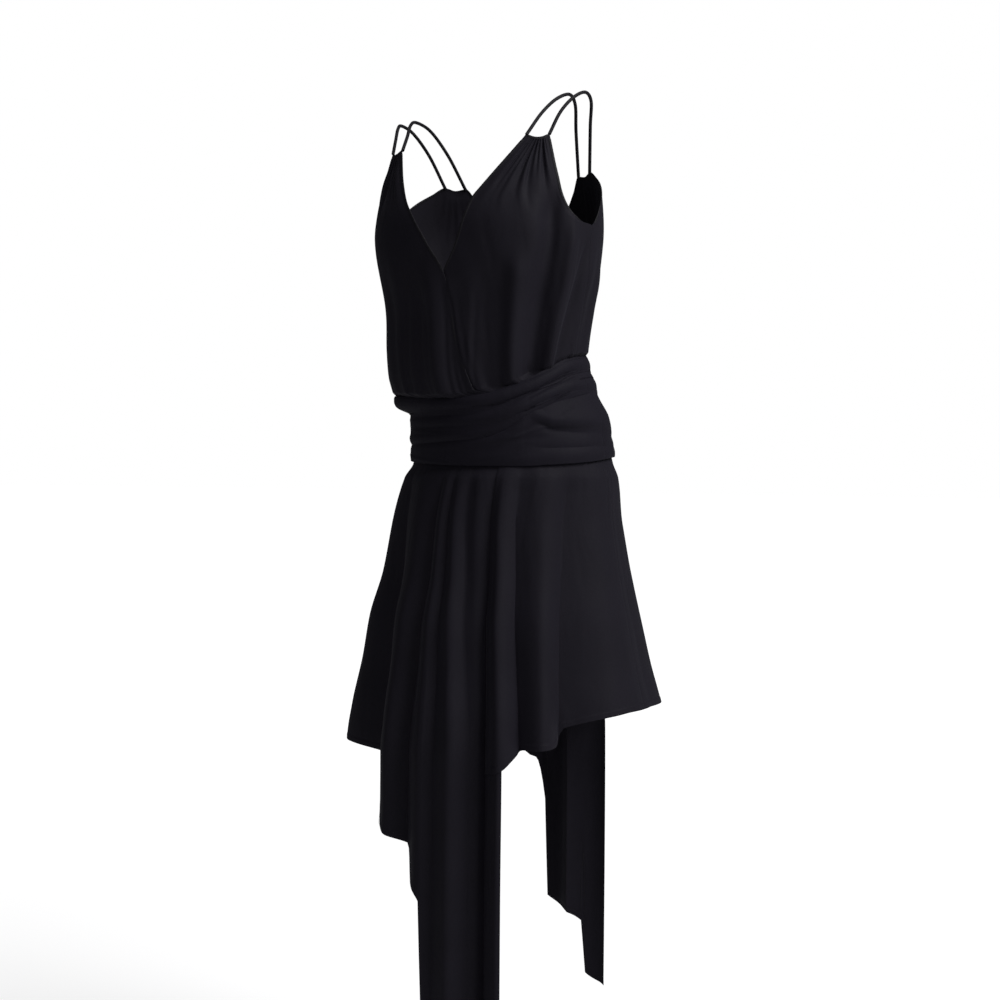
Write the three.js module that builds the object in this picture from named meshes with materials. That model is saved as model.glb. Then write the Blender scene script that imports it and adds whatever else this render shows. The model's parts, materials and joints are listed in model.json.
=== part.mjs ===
// A black wrap dress in its worn shape: a surplice bodice on paired straps, a wound sash and a skirt
// whose right panel falls to a long point in front and behind, with a short left panel laid over it.
//
// Sizes are millimetres. +Z is up, the dress faces -Y and its wearer's left is +X.
// The origin lies midway between the shoulders, level with the straps that rest on them.
// A place on the dress is a turn and a height. The turn is in degrees round the body: 0 at the centre
// front, positive towards the wearer's left, 180 at the centre back.
import * as THREE from "three";

// Driving dimensions
const clothThickness = 1.5;
const sashThickness = 2;
const bindingThickness = 1;
const bindingWidth = 6;
const seamGap = 0.3;
const layerStep = clothThickness + 1; // a layer laid over another
const waistSeam = -410; // height of the seam that joins bodice and skirt, under the sash
const sideSeam = 85; // turn of the bodice's side seams
const shoulderLift = 8; // the left shoulder is carried this much higher, the right as much lower
const bodiceLift = 3.5; // and the top of the bodice this much
const shoulderReach = 116;
const strapRadius = 2.2;
const strapSides = 6;
const strapClear = 2.6; // a strap's end above the edge it is sewn to

const black = { color: 0x141318, roughness: 0.78, metalness: 0 };
const sashBlack = { color: 0x17161b, roughness: 0.72, metalness: 0 };
const trimBlack = { color: 0x101014, roughness: 0.6, metalness: 0 };

const radians = THREE.MathUtils.degToRad;
const mix = THREE.MathUtils.lerp;
const steps = (count) => Array.from({ length: count + 1 }, (_, i) => i / count);
const span = (from, to, count) => steps(count).map((share) => mix(from, to, share));
const hump = (distance, spread) => Math.exp(-((distance / spread) ** 2));

// From 0 at the first value to 1 at the second, whichever is the larger.
function fade(none, full, value) {
  const share = THREE.MathUtils.clamp((value - none) / (full - none), 0, 1);
  return share * share * (3 - 2 * share);
}

// A smooth curve through a table's rows that never overshoots them.
function curveThrough(table, key, column) {
  const rows = [...table].sort((a, b) => a[key] - b[key]);
  const at = rows.map((row) => row[key]);
  const value = rows.map((row) => row[column]);
  const slope = at.slice(1).map((x, i) => (value[i + 1] - value[i]) / (x - at[i]));
  const last = at.length - 1;
  const tangent = at.map((_, i) => {
    if (i === 0 || i === last) return slope[Math.min(i, last - 1)];
    const product = slope[i - 1] * slope[i];
    return product <= 0 ? 0 : (2 * product) / (slope[i - 1] + slope[i]);
  });
  return (x) => {
    if (x <= at[0]) return value[0];
    if (x >= at[last]) return value[last];
    const i = at.findIndex((end) => end > x) - 1;
    const width = at[i + 1] - at[i];
    const f = (x - at[i]) / width;
    const straight = mix(value[i], value[i + 1], f * f * (3 - 2 * f));
    return straight + width * f * (1 - f) * ((1 - f) * tangent[i] - f * tangent[i + 1]);
  };
}

// Every named column of a table as a curve over the key column.
function curves(table, key) {
  const columns = Object.keys(table[0]).filter((name) => name !== key);
  const made = columns.map((name) => [name, curveThrough(table, key, name)]);
  return (x) => Object.fromEntries(made.map(([name, curve]) => [name, curve(x)]));
}

// A point on a flattened ring: its centre, half width and half depth, moved outward.
function ringPoint(ring, turn, height, outward = 0) {
  const angle = radians(turn);
  return new THREE.Vector3(
    ring.x + (ring.width + outward) * Math.sin(angle),
    ring.y - (ring.depth + outward) * Math.cos(angle),
    height,
  );
}

// A wall of cloth on a surface. Columns run towards the wearer's left and rows run down. The outer face
// is raised from the surface along its own normals, and the inner face lies one thickness inside it.
function clothWall({ surface, columns, rows, thickness, raised = () => 0 }) {
  const nudge = (list) => Math.abs(list[list.length - 1] - list[0]) * 1e-4;
  const [sideways, downward] = [nudge(columns), nudge(rows)];
  const normalAt = (column, row) => {
    const across = surface(column + sideways, row).sub(surface(column - sideways, row));
    const down = surface(column, row + downward).sub(surface(column, row - downward));
    return down.cross(across).normalize();
  };
  const positions = [];
  for (const depth of [0, thickness]) {
    for (const column of columns) {
      for (const row of rows) {
        const distance = raised(column, row) - depth;
        const point = surface(column, row).addScaledVector(normalAt(column, row), distance);
        positions.push(point.x, point.y, point.z);
      }
    }
  }
  const outer = (i, j) => i * rows.length + j;
  const inner = (i, j) => outer(i, j) + columns.length * rows.length;
  const faces = [];
  const quad = (a, b, c, d) => faces.push(a, b, c, a, c, d);
  const lastColumn = columns.length - 1;
  const lastRow = rows.length - 1;
  for (let i = 0; i < lastColumn; i++) {
    for (let j = 0; j < lastRow; j++) {
      quad(outer(i, j), outer(i, j + 1), outer(i + 1, j + 1), outer(i + 1, j));
      quad(inner(i, j), inner(i + 1, j), inner(i + 1, j + 1), inner(i, j + 1));
    }
    quad(outer(i, 0), outer(i + 1, 0), inner(i + 1, 0), inner(i, 0));
    quad(outer(i, lastRow), inner(i, lastRow), inner(i + 1, lastRow), outer(i + 1, lastRow));
  }
  for (let j = 0; j < lastRow; j++) {
    quad(outer(0, j), inner(0, j), inner(0, j + 1), outer(0, j + 1));
    quad(outer(lastColumn, j), outer(lastColumn, j + 1), inner(lastColumn, j + 1), inner(lastColumn, j));
  }
  const geometry = new THREE.BufferGeometry();
  geometry.setAttribute("position", new THREE.Float32BufferAttribute(positions, 3));
  geometry.setIndex(faces);
  geometry.computeVertexNormals();
  return geometry;
}

const dress = new THREE.Group();
dress.name = "wrap_dress";

function addPiece(name, geometry, finish) {
  const mesh = new THREE.Mesh(geometry, new THREE.MeshStandardMaterial(finish));
  mesh.name = name;
  dress.add(mesh);
}

// The rings that the cloth hangs on: the draped bodice, the fitted waist and the skirt's outer folds.
const drapeRing = curves(
  [
    { z: -30, x: 0, y: 0, width: 146, depth: 80 },
    { z: -53, x: 0, y: 0, width: 148, depth: 89 },
    { z: -100, x: 0, y: -1, width: 153, depth: 106 },
    { z: -163, x: 0, y: -2, width: 156, depth: 120 },
    { z: -216, x: 0, y: -3, width: 151, depth: 119 },
    { z: -268, x: -2, y: -3, width: 143, depth: 114 },
    { z: -314, x: -5, y: -4, width: 139, depth: 111 },
    { z: -347, x: -6, y: -3, width: 136, depth: 109 },
    { z: -370, x: -3, y: -2, width: 133, depth: 107 },
    { z: -400, x: 2, y: 0, width: 131, depth: 106 },
  ],
  "z",
);
const waistRing = curves(
  [
    { z: -325, x: 3, y: 0, width: 119, depth: 104 },
    { z: -350, x: 6, y: 3, width: 121, depth: 104 },
    { z: -380, x: 14, y: 8, width: 125, depth: 105 },
    { z: -405, x: 23, y: 12, width: 128, depth: 107 },
    { z: -430, x: 24, y: 14, width: 131, depth: 109 },
    { z: -463, x: 24, y: 16, width: 137, depth: 112 },
  ],
  "z",
);
const skirtRing = curves(
  [
    { z: -405, x: 23, y: 12, width: 128, depth: 107 },
    { z: -430, x: 24, y: 14, width: 131, depth: 109 },
    { z: -463, x: 24, y: 16, width: 137, depth: 112 },
    { z: -482, x: 21, y: 17, width: 146, depth: 123 },
    { z: -545, x: 15, y: 16, width: 158, depth: 135 },
    { z: -604, x: 15, y: 15, width: 169, depth: 145 },
    { z: -663, x: 13, y: 13, width: 185, depth: 158 },
    { z: -722, x: 14, y: 14, width: 197, depth: 169 },
    { z: -782, x: 15, y: 14, width: 212, depth: 182 },
    { z: -830, x: 15, y: 14, width: 219, depth: 188 },
    { z: -1000, x: 18, y: 6, width: 219, depth: 189 },
    { z: -1205, x: 22, y: -4, width: 218, depth: 188 },
  ],
  "z",
);

// The sash's edges. Its upper wrap climbs from the right hip to the left waist.
const wrapEdges = curves(
  [
    { turn: -180, top: -362, bottom: -412 },
    { turn: -120, top: -374, bottom: -432 },
    { turn: -64, top: -377, bottom: -434 },
    { turn: -30, top: -380, bottom: -433 },
    { turn: -12, top: -382, bottom: -430 },
    { turn: 2, top: -381, bottom: -429 },
    { turn: 14, top: -379, bottom: -424 },
    { turn: 22, top: -376, bottom: -417 },
    { turn: 31, top: -371, bottom: -406 },
    { turn: 40, top: -365, bottom: -396 },
    { turn: 48, top: -359, bottom: -389 },
    { turn: 60, top: -348, bottom: -381 },
    { turn: 78, top: -333, bottom: -373 },
    { turn: 105, top: -328, bottom: -367 },
    { turn: 140, top: -344, bottom: -388 },
    { turn: 180, top: -362, bottom: -412 },
  ],
  "turn",
);
const bandBottom = curveThrough(
  [
    { turn: -180, z: -458 },
    { turn: -70, z: -459 },
    { turn: -20, z: -463 },
    { turn: 20, z: -464 },
    { turn: 60, z: -461 },
    { turn: 110, z: -454 },
    { turn: 180, z: -458 },
  ],
  "turn",
  "z",
);
const wrapped = (turn) => ((((turn + 180) % 360) + 360) % 360) - 180;
const sashTop = (turn) => wrapEdges(wrapped(turn)).top;

// Soft folds of the bodice: the turn at bust height and at the waist, how far each stands out, or in
// where it is negative, how wide it is in degrees, and the heights between which it shows.
const bodiceFolds = [
  { bust: -62, waist: -58, out: -3, wide: 7, high: -190, low: -390 },
  { bust: -50, waist: -46, out: 2, wide: 6, high: -200, low: -390 },
  { bust: -40, waist: -36, out: -3.5, wide: 5, high: -190, low: -390 },
  { bust: -31, waist: -31, out: 3, wide: 4.5, high: -170, low: -390 },
  { bust: -23, waist: -25.5, out: -3.5, wide: 4, high: -180, low: -390 },
  { bust: -15.5, waist: -14.5, out: -3.5, wide: 3.6, high: -190, low: -390 },
  { bust: -7, waist: -1.5, out: 4.5, wide: 5, high: -200, low: -390 },
  { bust: 7, waist: 12, out: -2.5, wide: 4.5, high: -220, low: -390 },
  { bust: 22, waist: 26, out: -5.5, wide: 6.5, high: -200, low: -385 },
  { bust: 38.5, waist: 40.5, out: 5.5, wide: 5.5, high: -180, low: -385 },
  { bust: 54, waist: 51.5, out: -11.5, wide: 6, high: -105, low: -385 },
  { bust: 68, waist: 63, out: 5, wide: 5, high: -140, low: -380 },
  { bust: 80, waist: 62.5, out: -5, wide: 3.5, high: -160, low: -350 },
  { bust: 89, waist: 76, out: 3, wide: 5, high: -170, low: -375 },
  { bust: 101, waist: 98, out: 4, wide: 7, high: -190, low: -370 },
  { bust: 125, waist: 124, out: -5, wide: 8, high: -200, low: -370 },
  { bust: 143, waist: 146, out: 5, wide: 8, high: -200, low: -380 },
  { bust: 162, waist: 165, out: -5, wide: 8, high: -220, low: -385 },
  { bust: 180, waist: 183, out: 4, wide: 8, high: -240, low: -385 },
  { bust: 199, waist: 197, out: -5, wide: 8, high: -220, low: -385 },
  { bust: 218, waist: 214, out: 5, wide: 8, high: -200, low: -385 },
  { bust: 238, waist: 236, out: -5, wide: 8, high: -190, low: -385 },
  { bust: 258, waist: 258, out: 4, wide: 7, high: -190, low: -385 },
];
const foldFade = 55;
const foldRound = 270; // turns past this are counted back from the front
const bustFullness = { turn: 37, height: -172, out: 9, wide: 27, high: 62 };
const tuck = { out: 1.5, turn: -72, wide: 24, slouched: 12 }; // fills the sash's top, most at the right hip

function foldsAt(turn, height) {
  const down = (height + 200) / -190;
  const place = turn < foldRound - 360 ? turn + 360 : turn > foldRound ? turn - 360 : turn;
  return bodiceFolds.reduce((sum, fold) => {
    const centre = mix(fold.bust, fold.waist, down);
    const below = fade(fold.high, fold.high - foldFade, height);
    const above = 1 - 0.4 * fade(fold.low + 25, fold.low, height);
    return sum + fold.out * below * above * hump(place - centre, fold.wide);
  }, 0);
}

// A point on the bodice. Just over the sash the draped cloth turns in to lie on the fitted waist.
function bodicePoint(turn, height, inward = 0, folds = 1) {
  const bust = bustFullness;
  const sideways = hump(Math.abs(wrapped(turn)) - bust.turn, bust.wide);
  const full = bust.out * sideways * hump(height - bust.height, bust.high);
  const fullness = full + folds * foldsAt(turn, height) - inward;
  const draped = ringPoint(drapeRing(height), turn, height, fullness);
  const top = sashTop(turn);
  const loose = tuck.slouched * hump(wrapped(turn) - tuck.turn, tuck.wide);
  const filled = (tuck.out + loose) * fade(top - 9, top - 1, height);
  const fitted = ringPoint(waistRing(height), turn, height, filled);
  const point = draped.lerp(fitted, fade(top + 9, top + 1, height));
  return point.setZ(height + (bodiceLift * point.x * fade(-170, -60, height)) / shoulderReach);
}

// A bodice panel's rows hang free down to this share of it and then follow the sash's top edge.
const freeShare = 0.76;
const sashRows = [
  { share: 0.82, over: 9 },
  { share: 0.87, over: 5 },
  { share: 0.91, over: 1 },
  { share: 0.95, over: -7 },
];
const tuckedShare = sashRows[sashRows.length - 1].share;
function panelHeight(turn, down, freeHeight) {
  const stops = [
    { share: freeShare, z: freeHeight },
    ...sashRows.map((row) => ({ share: row.share, z: sashTop(turn) + row.over })),
    { share: 1, z: waistSeam },
  ];
  const next = Math.max(1, stops.findIndex((stop) => stop.share >= Math.min(down, 1)));
  const [a, b] = [stops[next - 1], stops[next]];
  return down <= freeShare ? freeHeight : mix(a.z, b.z, (down - a.share) / (b.share - a.share));
}

// Front panel edges, by share of the way down the panel. Past the free share the sash sets the height.
const armholeEdge = [
  { share: 0, left: 52, right: 52, z: -51.5 },
  { share: 0.08, left: 55, right: 57, z: -76 },
  { share: 0.16, left: 58, right: 65, z: -101 },
  { share: 0.25, left: 62, right: 72, z: -129 },
  { share: 0.32, left: 67, right: 77, z: -147 },
  { share: 0.38, left: 75, right: 81, z: -158 },
  { share: 0.44, left: sideSeam, right: sideSeam, z: -162 },
  { share: 0.54, left: sideSeam, right: sideSeam, z: -200 },
  { share: 0.62, left: sideSeam, right: sideSeam, z: -234 },
  { share: 0.7, left: sideSeam, right: sideSeam, z: -267 },
  { share: freeShare, left: sideSeam, right: sideSeam, z: -290 },
];
const rightCrossover = [
  { share: 0, turn: -38.5, z: -51.5 },
  { share: 0.08, turn: -34.5, z: -73 },
  { share: 0.17, turn: -28.5, z: -101 },
  { share: 0.25, turn: -22.5, z: -126 },
  { share: 0.34, turn: -15, z: -153 },
  { share: 0.44, turn: -7, z: -187 },
  { share: 0.54, turn: 1, z: -222 },
  { share: 0.62, turn: 4.5, z: -256 },
  { share: 0.7, turn: 7.5, z: -295 },
  { share: freeShare, turn: 12.5, z: -336 },
  { share: 0.82, turn: 16.5, z: -336 },
  { share: 0.91, turn: 21, z: -336 },
  { share: 1, turn: 28, z: -336 },
];
const leftCrossover = [
  { share: 0, turn: 38.5, z: -51.5 },
  { share: 0.09, turn: 28, z: -84 },
  { share: 0.19, turn: 18.5, z: -115 },
  { share: 0.25, turn: 14.5, z: -130 },
  { share: 0.34, turn: 11, z: -156 },
  { share: 0.44, turn: 7, z: -189 },
  { share: 0.54, turn: 1, z: -222 },
  { share: freeShare, turn: -5, z: -305 },
  { share: 1, turn: -12, z: -305 },
];
const topSag = 5; // the gathered top dips this far between its two straps
const rowSag = { deep: 22, share: 0.42, wide: 0.11 }; // and rows sag so that they cross the armhole's foot
const gathers = { count: 5, high: 1.1, fullest: 0.13, gone: 0.36 };
const edgeColumn = 1 / 34; // the first and last columns are as wide as the bindings
const rightEdgeAt = curveThrough([...rightCrossover.slice(0, 10), { turn: 28, z: waistSeam }], "z", "turn");
const underlap = { start: 6, full: -4, deep: 6 }; // degrees before the right edge, and how deep under it

function columnShare(across, strip) {
  if (across < edgeColumn) return (across / edgeColumn) * strip;
  if (across > 1 - edgeColumn) return 1 - ((1 - across) / edgeColumn) * strip;
  return mix(strip, 1 - strip, (across - edgeColumn) / (1 - 2 * edgeColumn));
}

function frontPanel(side, crossover) {
  const armhole = curves(armholeEdge, "share");
  const crossing = curves(crossover, "share");
  return (across, down) => {
    const outerEdge = armhole(down);
    const innerEdge = crossing(down);
    const edges = [side * (side < 0 ? outerEdge.right : outerEdge.left), innerEdge.turn];
    const strip = Math.min(bindingWidth / (radians(Math.abs(edges[1] - edges[0])) * 138), 0.22);
    const share = columnShare(across, strip);
    const fromArmhole = side < 0 ? share : 1 - share;
    const turn = mix(edges[0], edges[1], fromArmhole);
    const sag = topSag * fade(0.2, 0, down) + rowSag.deep * hump(down - rowSag.share, rowSag.wide);
    const dip = 4 * share * (1 - share) * sag;
    const height = panelHeight(turn, down, mix(outerEdge.z, innerEdge.z, fromArmhole) - dip);
    const pinched = fade(0, gathers.fullest, down) * fade(gathers.gone, gathers.fullest, down);
    const gather = gathers.high * pinched * Math.cos(2 * Math.PI * gathers.count * across);
    const beyond = turn - rightEdgeAt(height);
    const under = side > 0 ? fade(underlap.start, underlap.full, beyond) : 0;
    return bodicePoint(turn, height, gather + underlap.deep * under, 1 - under);
  };
}
const frontColumns = steps(34);
const frontRows = [
  0, 0.03, 0.08, 0.13, 0.19, 0.25, 0.32, 0.38, 0.44, 0.54, 0.62, 0.7, freeShare,
  ...sashRows.map((row) => row.share), 1,
];
const rightFront = frontPanel(-1, rightCrossover);
const leftFront = frontPanel(1, leftCrossover);
const onTop = (across) => layerStep * fade(0.3, 0.55, across);
for (const [name, surface, raised] of [
  ["bodice_front_right", rightFront, onTop],
  ["bodice_front_left", leftFront, () => 0],
]) {
  const wall = { surface, columns: frontColumns, rows: frontRows, thickness: clothThickness, raised };
  addPiece(name, clothWall(wall), black);
}

// Back bodice, with a low scooped neck between its two strap points.
const seamTurn = THREE.MathUtils.radToDeg(seamGap / 150);
const backEdge = [
  { turn: sideSeam, z: -162 },
  { turn: 91, z: -150 },
  { turn: 97, z: -136 },
  { turn: 105, z: -120 },
  { turn: 114, z: -106 },
  { turn: 124, z: -94 },
  { turn: 133, z: -84 },
  { turn: 139, z: -88 },
  { turn: 145, z: -86 },
  { turn: 151, z: -105 },
  { turn: 158, z: -126 },
  { turn: 168, z: -147 },
  { turn: 180, z: -155 },
];
const backTop = curveThrough(backEdge, "turn", "z");
const backFree = -290;
const backPanel = (turn, down) => {
  const top = backTop(turn > 180 ? 360 - turn : turn);
  return bodicePoint(turn, panelHeight(turn, down, mix(top, backFree, Math.min(down / freeShare, 1))));
};
const halfTurns = [
  ...[sideSeam + seamTurn, 88, 91, 97, 101, 105, 109.5, 114, 119, 124, 128.5, 133, 139, 145],
  ...[151, 158, 163, 168, 174, 180],
];
const mirrored = (list) => list.map((turn) => 360 - turn).reverse();
const backColumns = [...halfTurns, ...mirrored(halfTurns.slice(0, -1))];
const bindingDown = 0.045; // share of the back that its bindings cover
const seamRows = armholeEdge.filter((row) => row.z < backEdge[0].z);
const backRows = [
  0,
  bindingDown,
  ...seamRows.map((row) => (freeShare * (row.z - backEdge[0].z)) / (backFree - backEdge[0].z)),
  ...sashRows.map((row) => row.share),
  1,
];
addPiece(
  "bodice_back",
  clothWall({ surface: backPanel, columns: backColumns, rows: backRows, thickness: clothThickness }),
  black,
);

// Bindings: narrow strips laid along the panels' edges, just clear of the cloth.
const bindingRaise = seamGap + bindingThickness;
function binding(name, surface, columns, rows, under = () => 0) {
  const raised = (column, row) => under(column) + bindingRaise;
  addPiece(name, clothWall({ surface, columns, rows, thickness: bindingThickness, raised }), trimBlack);
}
const topRow = frontRows[1];
const below = topRow + 0.007;
const rowsTo = (lowest) => [below, ...frontRows.filter((row) => row > below && row <= lowest)];
const wearersRightEdge = [0, edgeColumn];
const wearersLeftEdge = [1 - edgeColumn, 1];
binding("binding_top_right", rightFront, frontColumns, [0, topRow], onTop);
binding("binding_top_left", leftFront, frontColumns, [0, topRow]);
binding("binding_neck_right", rightFront, wearersLeftEdge, rowsTo(tuckedShare), onTop);
binding("binding_neck_left", leftFront, wearersRightEdge, rowsTo(0.54));
binding("binding_armhole_right", rightFront, wearersRightEdge, rowsTo(0.38));
binding("binding_armhole_left", leftFront, wearersLeftEdge, rowsTo(0.38));
const backStrip = (from, to) => backColumns.filter((turn) => turn >= from && turn <= to);
binding("binding_back_neck", backPanel, backStrip(145, 215), [0, bindingDown]);
binding("binding_back_armhole_left", backPanel, backStrip(88, 133), [0, bindingDown]);
binding("binding_back_armhole_right", backPanel, backStrip(227, 272), [0, bindingDown]);

// Paired straps over each shoulder, from a front panel's gathered top to the back's strap point.
const strapRoutes = {
  inner: [
    { x: 101, y: -44, z: -28 },
    { x: 110, y: -22, z: -9 },
    { x: 116, y: 0, z: -1 },
    { x: 111, y: 26, z: -8 },
    { x: 99, y: 52, z: -38 },
  ],
  outer: [
    { x: 124, y: -37, z: -29 },
    { x: 133, y: -17, z: -9 },
    { x: 139, y: 0, z: -2 },
    { x: 136, y: 22, z: -8 },
    { x: 124, y: 44, z: -36 },
  ],
};
const strapSection = new THREE.Shape(
  steps(strapSides)
    .slice(1)
    .map((share) => new THREE.Vector2(strapRadius, 0).rotateAround(new THREE.Vector2(), 2 * Math.PI * share)),
);
function strap(route, side, start, end) {
  const liftAt = (x) => (side * shoulderLift * x) / shoulderReach;
  const over = route.map((p) => new THREE.Vector3(side * p.x, p.y, p.z + strapRadius + liftAt(p.x)));
  const ends = [start, end].map((point) => point.setZ(point.z + strapClear));
  return new THREE.ExtrudeGeometry(strapSection, {
    steps: 16,
    bevelEnabled: false,
    extrudePath: new THREE.CatmullRomCurve3([ends[0], ...over, ends[1]], false, "centripetal"),
  });
}
for (const [name, side, panel] of [["left", 1, leftFront], ["right", -1, rightFront]]) {
  const neckCorner = panel((1 - side) / 2, 0);
  const armholeCorner = panel((1 + side) / 2, 0);
  const backInner = backPanel(side > 0 ? 145 : 215, 0);
  const backOuter = backPanel(side > 0 ? 133 : 227, 0);
  addPiece(`strap_inner_${name}`, strap(strapRoutes.inner, side, neckCorner, backInner), trimBlack);
  addPiece(`strap_outer_${name}`, strap(strapRoutes.outer, side, armholeCorner, backOuter), trimBlack);
}

// The sash: a lower band all round and an upper wrap over it, each in a front and a back stretch.
const bandRaise = layerStep + 1.1 + sashThickness;
const wrapRaise = bandRaise + 0.7 + sashThickness;
const pleat = { turn: 39.5, from: -397.5, drop: 12, within: 5.5 };
const bandFolds = [
  { below: 1, out: 4, high: 6 },
  { below: 12, out: -1.6, high: 7 },
  { below: 33, out: -1, high: 5 },
];
function bandPoint(turn, down) {
  const place = wrapped(turn);
  const height = mix(sashTop(turn) - 10, bandBottom(place), down);
  const showing = fade(0, -7, height - wrapEdges(place).bottom);
  const along = place - pleat.turn;
  const crest = pleat.from - pleat.drop * (1 - Math.exp(-Math.max(along, 0) / pleat.within));
  const fanned = fade(0, 10, along) * fade(100, 60, along);
  const folds = bandFolds
    .map((fold) => fold.out * hump(height - crest + fold.below, fold.high))
    .reduce((sum, out) => sum + out);
  const roll = 1.2 * hump(height - bandBottom(place) - 4, 6);
  return ringPoint(waistRing(height), turn, height, showing * (fanned * folds + roll));
}

const wrapPleats = [
  { down: 0, out: 0.5 },
  { down: 0.09, out: 2.4 },
  { down: 0.22, out: 0.4 },
  { down: 0.38, out: 2.8 },
  { down: 0.55, out: 0.5 },
  { down: 0.74, out: 3.2 },
  { down: 0.9, out: 2 },
  { down: 1, out: 0.2 },
];
const pleatOut = curveThrough(wrapPleats, "down", "out");
const slouch = { turn: -72, wide: 24, out: 16, from: 0.3, to: 0.1 }; // hangs loose over the right hip
function wrapPoint(turn, down) {
  const place = wrapped(turn);
  const { top, bottom } = wrapEdges(place);
  const height = mix(top, bottom, down);
  const loose = slouch.out * hump(place - slouch.turn, slouch.wide) * fade(slouch.from, slouch.to, down);
  return ringPoint(waistRing(height), turn, height, pleatOut(down) + loose);
}

const sashSeam = 88;
const frontStretch = span(-sashSeam, sashSeam, 26);
const backStretch = span(sashSeam + seamTurn, 360 - sashSeam - seamTurn, 20);
const bandRows = steps(8);
const wrapRows = wrapPleats.map((row) => row.down);
for (const [name, columns] of [["front", frontStretch], ["back", backStretch]]) {
  for (const [part, surface, rows, raise] of [
    ["band", bandPoint, bandRows, bandRaise],
    ["wrap", wrapPoint, wrapRows, wrapRaise],
  ]) {
    const wall = { surface, columns, rows, thickness: sashThickness, raised: () => raise };
    addPiece(`sash_${part}_${name}`, clothWall(wall), sashBlack);
  }
}

// Lines down the skirt where the cloth folds: the turn just under the sash and at hem height, and how
// far inside the outer ring each line lies at those two heights.
const skirtFolds = [
  { under: -172, low: -173.5, underIn: 0, lowIn: 0 },
  { under: -165, low: -165, underIn: 4, lowIn: 25 },
  { under: -157, low: -157, underIn: 0, lowIn: 1 },
  { under: -148, low: -149, underIn: 4, lowIn: 25 },
  { under: -138, low: -139, underIn: 0, lowIn: 1 },
  { under: -126, low: -127, underIn: 5, lowIn: 27 },
  { under: -113, low: -113, underIn: 0, lowIn: 1 },
  { under: -100, low: -100, underIn: 5, lowIn: 25 },
  { under: -88, low: -88, underIn: 0, lowIn: 3 },
  { under: -76, low: -77, underIn: 4, lowIn: 24 },
  { under: -62, low: -62, underIn: 0, lowIn: 0 },
  { under: -43, low: -37, underIn: 6, lowIn: 33 },
  { under: -24, low: -21, underIn: 0, lowIn: 0 },
  { under: -13.7, low: -14, underIn: 5, lowIn: 20 },
  { under: -9.5, low: -6, underIn: 0, lowIn: 2 },
  { under: -5.6, low: -1.2, underIn: 4, lowIn: 10 },
  { under: -2, low: 5.2, underIn: 0, lowIn: 0 },
  { under: 3.6, low: 11.6, underIn: 4, lowIn: 16 },
  { under: 9.2, low: 14.4, underIn: 0, lowIn: 18 },
  { under: 17.8, low: 17.6, underIn: 5, lowIn: 27 },
  { under: 21.8, low: 23, underIn: 0, lowIn: 0 },
  { under: 30, low: 30.3, underIn: 7, lowIn: 22 },
  { under: 43.5, low: 38, underIn: 0, lowIn: 0 },
  { under: 57.5, low: 46.3, underIn: 9, lowIn: 28 },
  { under: 80.5, low: 69, underIn: 0, lowIn: 1 },
  { under: 97, low: 97, underIn: 2, lowIn: 8 },
  { under: 116, low: 116, underIn: 0, lowIn: 0 },
  { under: 129, low: 129, underIn: 4, lowIn: 24 },
  { under: 141, low: 141, underIn: 0, lowIn: 1 },
  { under: 153, low: 153, underIn: 4, lowIn: 24 },
  { under: 168, low: 167, underIn: 0, lowIn: 0 },
  { under: 179, low: 179, underIn: 4, lowIn: 20 },
];
const foldsBegin = { none: -458, full: -500 };
const foldsGrow = { from: -490, to: -800, power: 0.85 };
const crisp = { share: 0.6, falling: 2.2, rising: 1.2 }; // crests are round, valleys crisp on one side
const foldLines = [-360, 0, 360].flatMap((round) =>
  skirtFolds.map((fold) => ({ ...fold, under: fold.under + round, low: fold.low + round })),
);

// A column of the skirt is named by its turn at hem height and slants to its turn under the sash.
function skirtPoint(column, height) {
  const after = foldLines.findIndex((fold) => fold.low > column);
  const [a, b] = [foldLines[after - 1], foldLines[after]];
  const share = (column - a.low) / (b.low - a.low);
  const falling = b.lowIn > a.lowIn;
  const fromCrest = falling ? share : 1 - share;
  const sharp = fromCrest ** (falling ? crisp.falling : crisp.rising);
  const deep = mix((1 - Math.cos(Math.PI * fromCrest)) / 2, sharp, crisp.share);
  const soft = falling ? deep : 1 - deep;
  const down = THREE.MathUtils.clamp((height - foldsGrow.from) / (foldsGrow.to - foldsGrow.from), 0, 1);
  const turn = mix(mix(a.under, b.under, share), column, down);
  const grown = down ** foldsGrow.power;
  const inward = mix(mix(a.underIn, b.underIn, soft), mix(a.lowIn, b.lowIn, soft), grown);
  const free = fade(foldsBegin.none, foldsBegin.full, height);
  return ringPoint(skirtRing(height), turn, height, -inward * free);
}

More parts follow.
